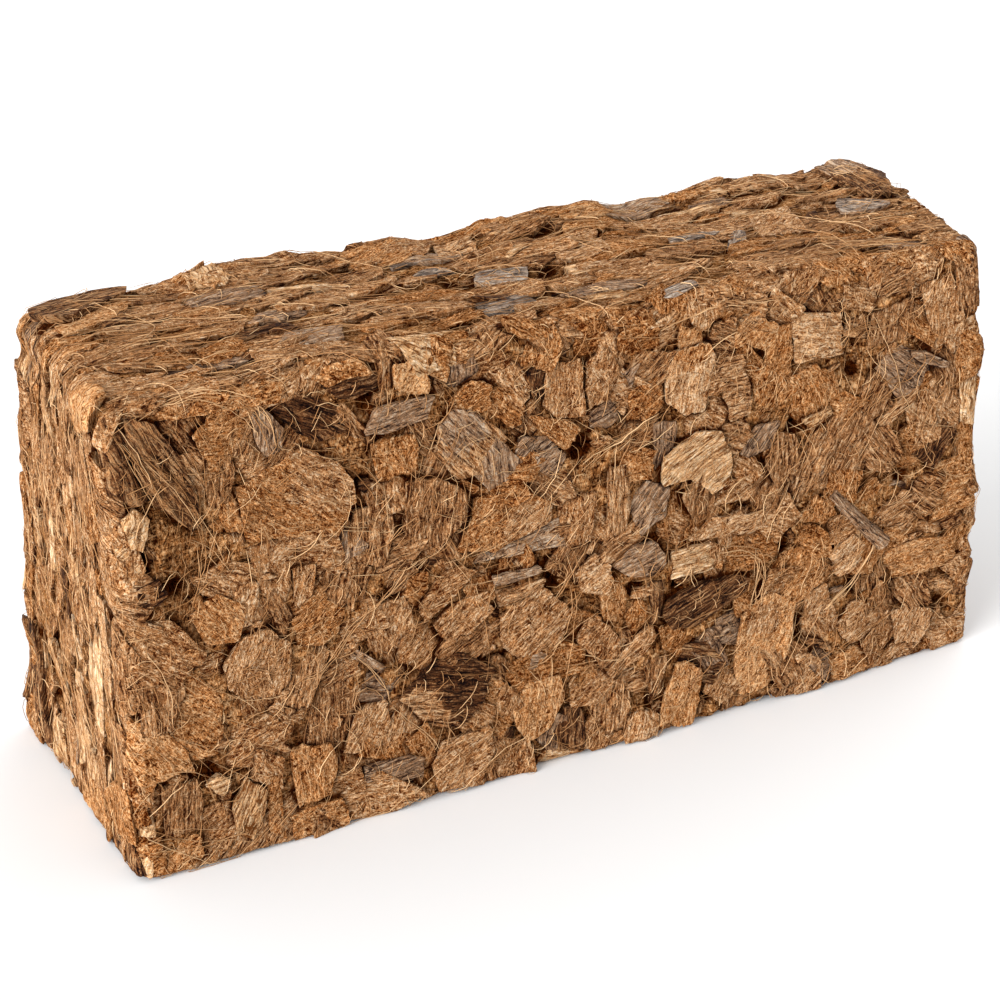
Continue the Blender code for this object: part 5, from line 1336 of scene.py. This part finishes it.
def strand_fibres(skin, side, strand, rng):
    """The fibres of a strand, which run side by side through its points."""
    corners = np.array(strand.points, float)
    stretch = np.concatenate([[0], np.cumsum(np.hypot(*np.diff(corners, axis=0).T))])
    points = max(round(stretch[-1] / STRAND_STEP), 4) + 1
    along = np.linspace(0, stretch[-1], points)
    path = np.stack([np.interp(along, stretch, corners[:, axis]) for axis in (0, 1)], 1)
    for _ in range(STRAND_SMOOTHINGS):
        path[1:-1] = (path[:-2] + 2 * path[1:-1] + path[2:]) / 4
    heading = np.gradient(path, axis=0)
    heading /= np.linalg.norm(heading, axis=1, keepdims=True)
    shift = rng.normal(0, strand.spread * STRAND_SHIFT, (strand.count, 1))
    fan = rng.normal(0, strand.spread * STRAND_FAN, (strand.count, 1)) * np.linspace(-1, 1, points)
    waver = rng.normal(0, STRAND_WAVER, (strand.count, points))
    swing = rng.normal(0, STRAND_SWING, (strand.count, 1))
    waver += swing * np.sin(along * rng.uniform(*STRAND_SWINGS_PER_MM, (strand.count, 1)))
    slide = rng.normal(0, strand.spread, (strand.count, 1))
    offset = shift + fan + waver
    u = path[:, 0] - heading[:, 1] * offset + heading[:, 0] * slide
    v = path[:, 1] + heading[:, 0] * offset + heading[:, 1] * slide
    lift = draped(side, u, v, np.abs(rng.normal(*STRAND_RISE, (strand.count, points))))
    shade = np.clip(rng.normal(*STRAND_SHADES, strand.count), -1, 1)
    add_fibres(skin, side, u, v, lift, rng.uniform(*STRAND_RADII, strand.count), shade, rng.uniform(0, 50))


def chip_fibres(skin, side, chip, rng):
    """Fibres along the grain of a chip, some of which stick out past its ends."""
    corners = np.array(chip.outline, float)
    centre = np.array(middle(chip.outline))
    turn = math.radians(chip.grain)
    along = np.array([math.cos(turn), math.sin(turn)])
    across = np.array([-along[1], along[0]])
    a_span = np.ptp((corners - centre) @ along)
    b_span = np.ptp((corners - centre) @ across)
    factor = BROWN_FIBRE_FACTOR if chip.tone == "brown_husk" else 1
    count = round(a_span * b_span * CHIP_FIBRES_PER_MM2 * factor)
    if count < FEWEST_CHIP_FIBRES:
        return
    points = CHIP_FIBRE_POINTS
    along_reach, across_reach = CHIP_FIBRE_REACH
    length = rng.uniform(*CHIP_FIBRE_LENGTHS, count) * a_span
    a = rng.uniform(-along_reach, along_reach, count) * a_span
    b = rng.uniform(-across_reach, across_reach, count) * b_span
    angle = rng.normal(0, CHIP_FIBRE_TURN, count)[:, None]
    angle = angle + rng.normal(0, CHIP_FIBRE_WAVER, (count, points))
    step = (length / (points - 1))[:, None]
    a = a[:, None] + np.cumsum(step * np.cos(angle), 1) - length[:, None] / 2
    b = b[:, None] + np.cumsum(step * np.sin(angle), 1)
    u = centre[0] + a * along[0] + b * across[0]
    v = centre[1] + a * along[1] + b * across[1]
    lift = draped(side, u, v, np.abs(rng.normal(*CHIP_FIBRE_RISE, (count, points))))
    mean, spread = CHIP_FIBRE_SHADES
    shade = np.clip(rng.normal(mean + SHADE_OF_CHIP * chip.shade, spread, count), -1, 1)
    add_fibres(skin, side, u, v, lift, rng.uniform(*FIBRE_RADII, count), shade, rng.uniform(0, 50))


def packed_mass():
    """The rough mass between and behind the chips: a closed skin that lies below the press plane."""
    spans = np.array([ALONG, ACROSS, UP])
    counts = [round((high - low) / MASS_STEP) for low, high in spans]
    ticks = [np.linspace(low, high, count + 1) for (low, high), count in zip(spans, counts)]
    points = []
    quads = []
    start = 0
    for fixed in range(3):
        first, second = [axis for axis in range(3) if axis != fixed]
        for end, level in enumerate(spans[fixed]):
            grid = np.empty((len(ticks[first]), len(ticks[second]), 3))
            grid[..., fixed] = level
            grid[..., first] = ticks[first][:, None]
            grid[..., second] = ticks[second][None, :]
            faces = grid_quads(*grid.shape[:2]) + start
            outward_is_up = (fixed == 1) == (end == 0)
            quads.append(faces if outward_is_up else faces[:, ::-1])
            points.append(grid.reshape(-1, 3))
            start += grid.shape[0] * grid.shape[1]
    points, joined = np.unique(np.round(np.concatenate(points), 4), axis=0, return_inverse=True)
    quads = joined.reshape(-1)[np.concatenate(quads)]
    nearest = np.clip(points, spans[:, 0] + EDGE_RADIUS, spans[:, 1] - EDGE_RADIUS)
    outward = points - nearest
    outward /= np.linalg.norm(outward, axis=1, keepdims=True)
    x, y, z = points.T
    depth = MASS_SINK - MASS_LUMPS * sum(
        share * noise(x * rate, z * rate, y * rate) for share, rate in MASS_LAYERS)
    for side, hollows in HOLLOWS.items():
        face = FACES[side]
        for u, v, radius, deep in hollows:
            centre = face.origin + face.u_axis * u + face.v_axis * v
            away = np.linalg.norm(points - centre, axis=1)
            depth += deep * np.exp(-((away / radius) ** 2))
    surface = settled(nearest + outward * (EDGE_RADIUS - depth)[:, None])
    # Painted shade on the mass in the cracks beside higher chips, added to the depth
    for side, face in FACES.items():
        here = outward @ face.normal > SIDE_SHARE
        u, v = (points - face.origin) @ face.u_axis, (points - face.origin) @ face.v_axis
        depth[here] += MASS_PAINTED_SHADE * GROUNDS[side].overlooked(u[here], v[here], -depth[here])
    shade = MASS_SHADE * noise(x * MASS_SHADES_PER_MM, z * MASS_SHADES_PER_MM, y * MASS_SHADES_PER_MM)
    skin = Skin()
    skin.add(surface, points * np.array(MASS_GRAIN), shade, depth, [(quads, "packed_husk")])
    return skin


def grey_twig():
    """A round twig with fine ribs along it, thicker at its foot."""
    rings, sides = TWIG_RINGS, TWIG_SIDES
    share = np.linspace(0, 1, rings)
    start, end = [on_face(FACES["front"], *place, TWIG_LIFT) for place in (TWIG_TOP, TWIG_FOOT)]
    along = (end - start) / np.linalg.norm(end - start)
    across = np.cross(along, FACES["front"].normal)
    upward = np.cross(across, along)
    turn = np.linspace(0, 2 * math.pi, sides, endpoint=False)
    radius = TWIG_RADII[0] + (TWIG_RADII[1] - TWIG_RADII[0]) * share[:, None]
    round_rate, along_rate = TWIG_RIB_RATES
    ribs = noise(turn[None] * round_rate, share[:, None] * along_rate, 5)
    radius = radius + TWIG_RIBS * ribs - TWIG_RIB_SINK
    centre = start + (end - start) * share[:, None]
    centre = centre + across * TWIG_BEND * np.sin(share * math.pi)[:, None]
    points = centre[:, None] + radius[..., None] * (
        np.cos(turn)[None, :, None] * across + np.sin(turn)[None, :, None] * upward)
    index = np.arange(rings * sides).reshape(rings, sides)
    ahead = np.roll(index, -1, 1)
    quads = np.stack([index[:-1], index[1:], ahead[1:], ahead[:-1]], -1).reshape(-1, 4)
    grain_along, grain_round, offset = TWIG_GRAIN
    grain = np.stack([np.repeat(share * grain_along, sides), np.tile(turn * grain_round, rings),
                      np.full(rings * sides, offset)], 1)
    skin = Skin()
    skin.add(points.reshape(-1, 3), grain, TWIG_SHADE, 0.0,
             [(quads, "grey_bark"), (index[:1], "grey_bark"), (index[-1:, ::-1], "grey_bark")])
    return skin


def linear(colour):
    return (*[(channel / 255) ** SRGB_POWER for channel in colour], 1)


class Nodes:
    """A short way to place and link the nodes of a material."""

    def __init__(self, name):
        self.material = bpy.data.materials.new(name)
        self.material.use_nodes = True
        self.tree = self.material.node_tree
        self.shader = self.tree.nodes["Principled BSDF"]

    def add(self, kind, inputs=(), **settings):
        node = self.tree.nodes.new(kind)
        for key, value in settings.items():
            setattr(node, key, value)
        for key, value in dict(inputs).items():
            if isinstance(value, bpy.types.NodeSocket):
                self.tree.links.new(value, node.inputs[key])
            else:
                node.inputs[key].default_value = value
        return node

    def attribute(self, name):
        return self.add("ShaderNodeAttribute", attribute_name=name)

    def math(self, operation, first, second, clamp=False):
        return self.add(
            "ShaderNodeMath", {0: first, 1: second}, operation=operation, use_clamp=clamp).outputs[0]

    def pattern(self, vector, pattern, shortness=1.0):
        """Noise over the grain's coordinates, stretched along the grain, from about -1 to 1."""
        moved = self.add(
            "ShaderNodeVectorMath",
            {0: vector, 1: (pattern.along * shortness, pattern.across, 1), 2: pattern.offset},
            operation="MULTIPLY_ADD")
        texture = self.add(
            "ShaderNodeTexNoise",
            {"Vector": moved.outputs[0], "Scale": 1.0, "Detail": pattern.detail,
             "Roughness": NOISE_ROUGHNESS, "Distortion": pattern.curl * shortness})
        centred = self.math("SUBTRACT", texture.outputs["Fac"], 0.5)
        return self.math("MULTIPLY", centred, NOISE_GAIN)

    def lines(self, value, sharpness):
        """Thin lines where the value crosses zero: 1 on them and 0 beside them."""
        away = self.math("MULTIPLY", self.math("ABSOLUTE", value, 0), sharpness)
        return self.math("SUBTRACT", 1.0, away, True)

    def weighted(self, value, parts, weights):
        """The value with each part added by its weight."""
        for name, weight in weights.items():
            value = self.math("ADD", value, self.math("MULTIPLY", parts[name], weight))
        return value

    def tinted(self, colour, tint):
        return self.add(
            "ShaderNodeVectorMath", {0: colour, 1: tint}, operation="MULTIPLY").outputs[0]

    def darkened(self, colour, sunk):
        """The colour with painted shade: darker and redder the deeper it lies below the press plane."""
        depth = self.add("ShaderNodeMapRange", {0: sunk, 1: DEPTHS[0], 2: DEPTHS[1]}).outputs[0]
        dim = self.add(
            "ShaderNodeMix", {0: depth, 6: (1, 1, 1, 1), 7: (*DEEP_SHADE_TINT, 1)}, data_type="RGBA")
        return self.tinted(colour, dim.outputs[2])

    def ramp(self, value, colours):
        node = self.add("ShaderNodeValToRGB", {"Fac": value})
        node.color_ramp.elements[0].color = linear(colours[0])
        node.color_ramp.elements[1].color = linear(colours[-1])
        for index, colour in enumerate(colours[1:-1], 1):
            element = node.color_ramp.elements.new(index / (len(colours) - 1))
            element.color = linear(colour)
        return node.outputs["Color"]


def husk_parts(nodes, grain, finish):
    """The patterns of husk by name: streaks and hairs along the grain, felt, blotches and cracks."""
    parts = {
        "streaks": nodes.pattern(grain, PATTERNS["streaks"], finish.shortness),
        "hairs": nodes.pattern(grain, PATTERNS["hairs"], finish.shortness),
        "felt": nodes.pattern(grain, PATTERNS["felt"]),
        "blotches": nodes.pattern(grain, PATTERNS["blotches"]),
    }
    strands = STRANDS_LEAST
    for turn in STRAND_TURNS:
        turned = nodes.add(
            "ShaderNodeVectorRotate", {"Vector": grain, "Angle": turn}, rotation_type="Z_AXIS")
        pattern = PATTERNS["strands"]._replace(offset=(STRANDS_OFFSET, turn, 0))
        strands = nodes.math("MAXIMUM", strands, nodes.pattern(turned.outputs[0], pattern))
    parts["strands"] = strands
    parts["cracks"] = nodes.lines(nodes.pattern(grain, PATTERNS["veins"]), CRACK_SHARPNESS)
    fissures = nodes.lines(nodes.pattern(grain, PATTERNS["fissures"]), FISSURE_SHARPNESS)
    breaks = nodes.math("MULTIPLY", nodes.pattern(grain, PATTERNS["breaks"]), BREAK_GAIN, True)
    parts["fissures"] = nodes.math("MULTIPLY", fissures, breaks)
    return parts


def husk_material(tone):
    """Husk with streaks and cracks along its grain, felted pith and blotches, and painted shade in the
    depth.
    """
    finish = FINISHES[tone]
    strengths = {
        "streaks": finish.streaks, "hairs": finish.streaks, "felt": finish.felt,
        "strands": finish.felt, "blotches": finish.blotches, "cracks": finish.cracks,
    }
    nodes = Nodes(tone)
    grain = nodes.attribute("grain").outputs["Vector"]
    parts = husk_parts(nodes, grain, finish)
    height_weights = {name: weight * strengths.get(name, 1) for name, weight in HEIGHT_WEIGHTS.items()}
    height = nodes.weighted(0.0, parts, height_weights)
    bump = nodes.add("ShaderNodeBump", {"Height": height, "Distance": MM, "Strength": 1.0})
    nodes.tree.links.new(bump.outputs[0], nodes.shader.inputs["Normal"])
    parts["strands"] = nodes.math("SUBTRACT", parts["strands"], STRANDS_MEAN)
    parts["shade"] = nodes.attribute("shade").outputs["Fac"]
    colour_weights = {name: weight * strengths.get(name, 1) for name, weight in COLOUR_WEIGHTS.items()}
    colour = nodes.ramp(nodes.weighted(0.5, parts, colour_weights), RAMPS[tone])
    hue = nodes.math("ADD", nodes.pattern(grain, PATTERNS["hue"]), 0.5)
    hue = nodes.math("ADD", hue, nodes.pattern(grain, PATTERNS["fine_hue"]), True)
    tint = nodes.add("ShaderNodeMix", {0: hue, 6: (*COOL_TINT, 1), 7: (*WARM_TINT, 1)}, data_type="RGBA")
    colour = nodes.tinted(colour, tint.outputs[2])
    colour = nodes.darkened(colour, nodes.attribute("sunk").outputs["Fac"])
    nodes.tree.links.new(colour, nodes.shader.inputs["Base Color"])
    nodes.shader.inputs["Roughness"].default_value = finish.roughness
    nodes.shader.inputs["Specular IOR Level"].default_value = finish.sheen
    return nodes.material


def fibre_material():
    """Loose coir: each fibre has its own shade from dark brown to pale gold."""
    nodes = Nodes("loose_fibre")
    grain = nodes.attribute("grain").outputs["Vector"]
    parts = {
        "shade": nodes.attribute("shade").outputs["Fac"],
        "mottle": nodes.pattern(grain, PATTERNS["fibre_mottle"]),
    }
    weights = {"shade": FIBRE_SHADE_WEIGHT, "mottle": FIBRE_MOTTLE_WEIGHT}
    colour = nodes.ramp(nodes.weighted(0.5, parts, weights), RAMPS["loose_fibre"])
    # Painted shade, darker the deeper the fibre lies
    colour = nodes.darkened(colour, nodes.attribute("sunk").outputs["Fac"])
    nodes.tree.links.new(colour, nodes.shader.inputs["Base Color"])
    nodes.shader.inputs["Roughness"].default_value = FIBRE_ROUGHNESS
    nodes.shader.inputs["Specular IOR Level"].default_value = FIBRE_SHEEN
    return nodes.material


MATERIALS = {tone: husk_material(tone) for tone in FINISHES}
MATERIALS["loose_fibre"] = fibre_material()


# The first seeds of the chips that stand out, of each face's fused chips and of its fibres
STANDOUT_SEED = 1000
FUSED_SEED = 10000
FUSED_SEED_STEP = 3000
FIBRE_SEED = 70


def make_piece(skin, name, slot, replaced=None):
    piece = skin.piece(name)
    if replaced:
        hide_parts(replaced)


def lay_standouts():
    """The skin of each chip that stands out, with its chip."""
    seed = STANDOUT_SEED
    laid = []
    for side, chips in STANDOUT_CHIPS.items():
        for chip in chips:
            seed += 1
            laid.append((Skin(), chip))
            add_chip(laid[-1][0], side, chip, seed)
    return laid


def lay_fused(side, seed):
    """The skins of a face's fused chips and crumbs, and the larger chips, whose grain carries fibres."""
    skin, crumb_skin = Skin(), Skin()
    face = FACES[side]
    area = (face.u_span[1] - face.u_span[0]) * (face.v_span[1] - face.v_span[0])
    hollows = [hollow[:2] for hollow in HOLLOWS.get(side, [])]
    fused = FUSED_CHIPS.get(side, [])
    keep_clear = [grown(chip.outline, SEAT_MARGIN) for chip in STANDOUT_CHIPS.get(side, []) + fused]
    large = []
    if side in LARGE_SCATTERS:
        large = scattered_chips(side, LARGE_SCATTERS[side], keep_clear, LARGE_TRIES)
    large += fused
    taken = main_outlines(side, -SMALL_OVER_STANDOUT)
    taken += [grown(chip.outline, -SMALL_OVER_FUSED) for chip in fused]
    small = scattered_chips(side, SMALL_SCATTERS[side], taken, round(area * SMALL_TRIES), SMALL_TILT)
    crumbs = scattered_chips(
        side, CRUMB_SCATTERS[side], main_outlines(side, -CRUMB_OVER_STANDOUT),
        round(area * CRUMB_TRIES), SMALL_TILT)
    crumb_steps = [step * CRUMB_STEP_FACTOR for step in MESH_STEPS[side]]
    for chip in large + small:
        seed += 1
        if any(inside(hollow, chip.outline) for hollow in hollows):
            continue
        add_chip(skin, side, chip, seed)
    for chip in crumbs:
        seed += 1
        add_chip(crumb_skin, side, chip, seed, crumb_steps, CRUMB_WARP)
    return skin, crumb_skin, large + small


def build_fibres(side, chips, seed):
    """The piece of a face's fibres: loose ones, strands, and those on its chips."""
    rng = np.random.default_rng(seed)
    skin = Skin()
    for kind in ("short", "medium", "long"):
        loose_fibres(skin, side, getattr(FLEECES[side], kind), kind, rng)
    for strand in STRANDS.get(side, []):
        strand_fibres(skin, side, strand, rng)
    for chip in chips:
        chip_fibres(skin, side, chip, rng)
    make_piece(skin, f"{side}_fibres", "pale_straw")


def build_camera():
    azimuth, elevation, roll = [
        math.radians(angle) for angle in (CAMERA_AZIMUTH, CAMERA_ELEVATION, CAMERA_ROLL)]
    back = Vector((math.sin(azimuth) * math.cos(elevation), -math.cos(azimuth) * math.cos(elevation),
                   math.sin(elevation)))
    right = Vector((0, 0, 1)).cross(back).normalized()
    up = back.cross(right)
    rolled_right = right * math.cos(roll) + up * math.sin(roll)
    rolled_up = up * math.cos(roll) - right * math.sin(roll)
    data = bpy.data.cameras.new("camera")
    data.lens = CAMERA_LENS
    data.sensor_width = CAMERA_SENSOR
    data.clip_start = CAMERA_NEAR
    camera = bpy.data.objects.new("camera", data)
    turn = Matrix((rolled_right, rolled_up, back)).transposed().to_4x4()
    camera.matrix_world = Matrix.Translation(Vector(CAMERA_PLACE) * MM) @ turn
    bpy.context.scene.collection.objects.link(camera)
    bpy.context.scene.camera = camera


# Studio light: the ambient light, a soft key light from the left, a soft fill light from the right
# and behind, and the pale floor
AMBIENT = 1.0
KEY_STRENGTH = 5.2
KEY_FROM = (-0.93, -0.31, 0.33)
KEY_SOFTNESS = math.radians(42)
FILL_STRENGTH = 1.35
FILL_FROM = (0.72, 0.60, 0.35)
FILL_SOFTNESS = math.radians(60)
FLOOR_SIZE = 12.0
FLOOR_COLOUR = (0.74, 0.74, 0.74, 1)
FLOOR_ROUGHNESS = 0.9


def add_sun(name, strength, came_from, softness):
    data = bpy.data.lights.new(name, "SUN")
    data.energy = strength
    data.angle = softness
    lamp = bpy.data.objects.new(name, data)
    lamp.rotation_euler = Vector(came_from).to_track_quat("Z", "Y").to_euler()
    bpy.context.scene.collection.objects.link(lamp)


def build_studio():
    world = bpy.data.worlds.new("studio")
    world.use_nodes = True
    background = world.node_tree.nodes["Background"]
    background.inputs["Color"].default_value = (1, 1, 1, 1)
    background.inputs["Strength"].default_value = AMBIENT
    bpy.context.scene.world = world
    add_sun("key", KEY_STRENGTH, KEY_FROM, KEY_SOFTNESS)
    add_sun("fill", FILL_STRENGTH, FILL_FROM, FILL_SOFTNESS)
    mesh = bpy.data.meshes.new("floor")
    half = FLOOR_SIZE / 2
    corners = [(-half, -half, 0), (half, -half, 0), (half, half, 0), (-half, half, 0)]
    mesh.from_pydata(corners, [], [(0, 1, 2, 3)])
    floor = bpy.data.objects.new("floor", mesh)
    nodes = Nodes("floor")
    nodes.shader.inputs["Base Color"].default_value = FLOOR_COLOUR
    nodes.shader.inputs["Roughness"].default_value = FLOOR_ROUGHNESS
    mesh.materials.append(nodes.material)
    bpy.context.scene.collection.objects.link(floor)
    bpy.context.scene.view_settings.view_transform = "Standard"


build_camera()
standouts = lay_standouts()
fused = {side: lay_fused(side, FUSED_SEED + FUSED_SEED_STEP * order) for order, side in enumerate(FACES)}
for skin, chip in standouts:
    make_piece(skin, chip.name + "_detail", chip.tone, chip.name)
make_piece(grey_twig(), "grey_twig_detail", "grey_bark", "grey_twig")
make_piece(packed_mass(), "packed_mass", "packed_husk", "packed_husk_block")
for order, side in enumerate(FACES):
    skin, crumb_skin, chips = fused[side]
    make_piece(skin, f"{side}_chips", "packed_husk")
    make_piece(crumb_skin, f"{side}_crumbs", "packed_husk")
    build_fibres(side, chips + STANDOUT_CHIPS.get(side, []), FIBRE_SEED + order)
build_studio()
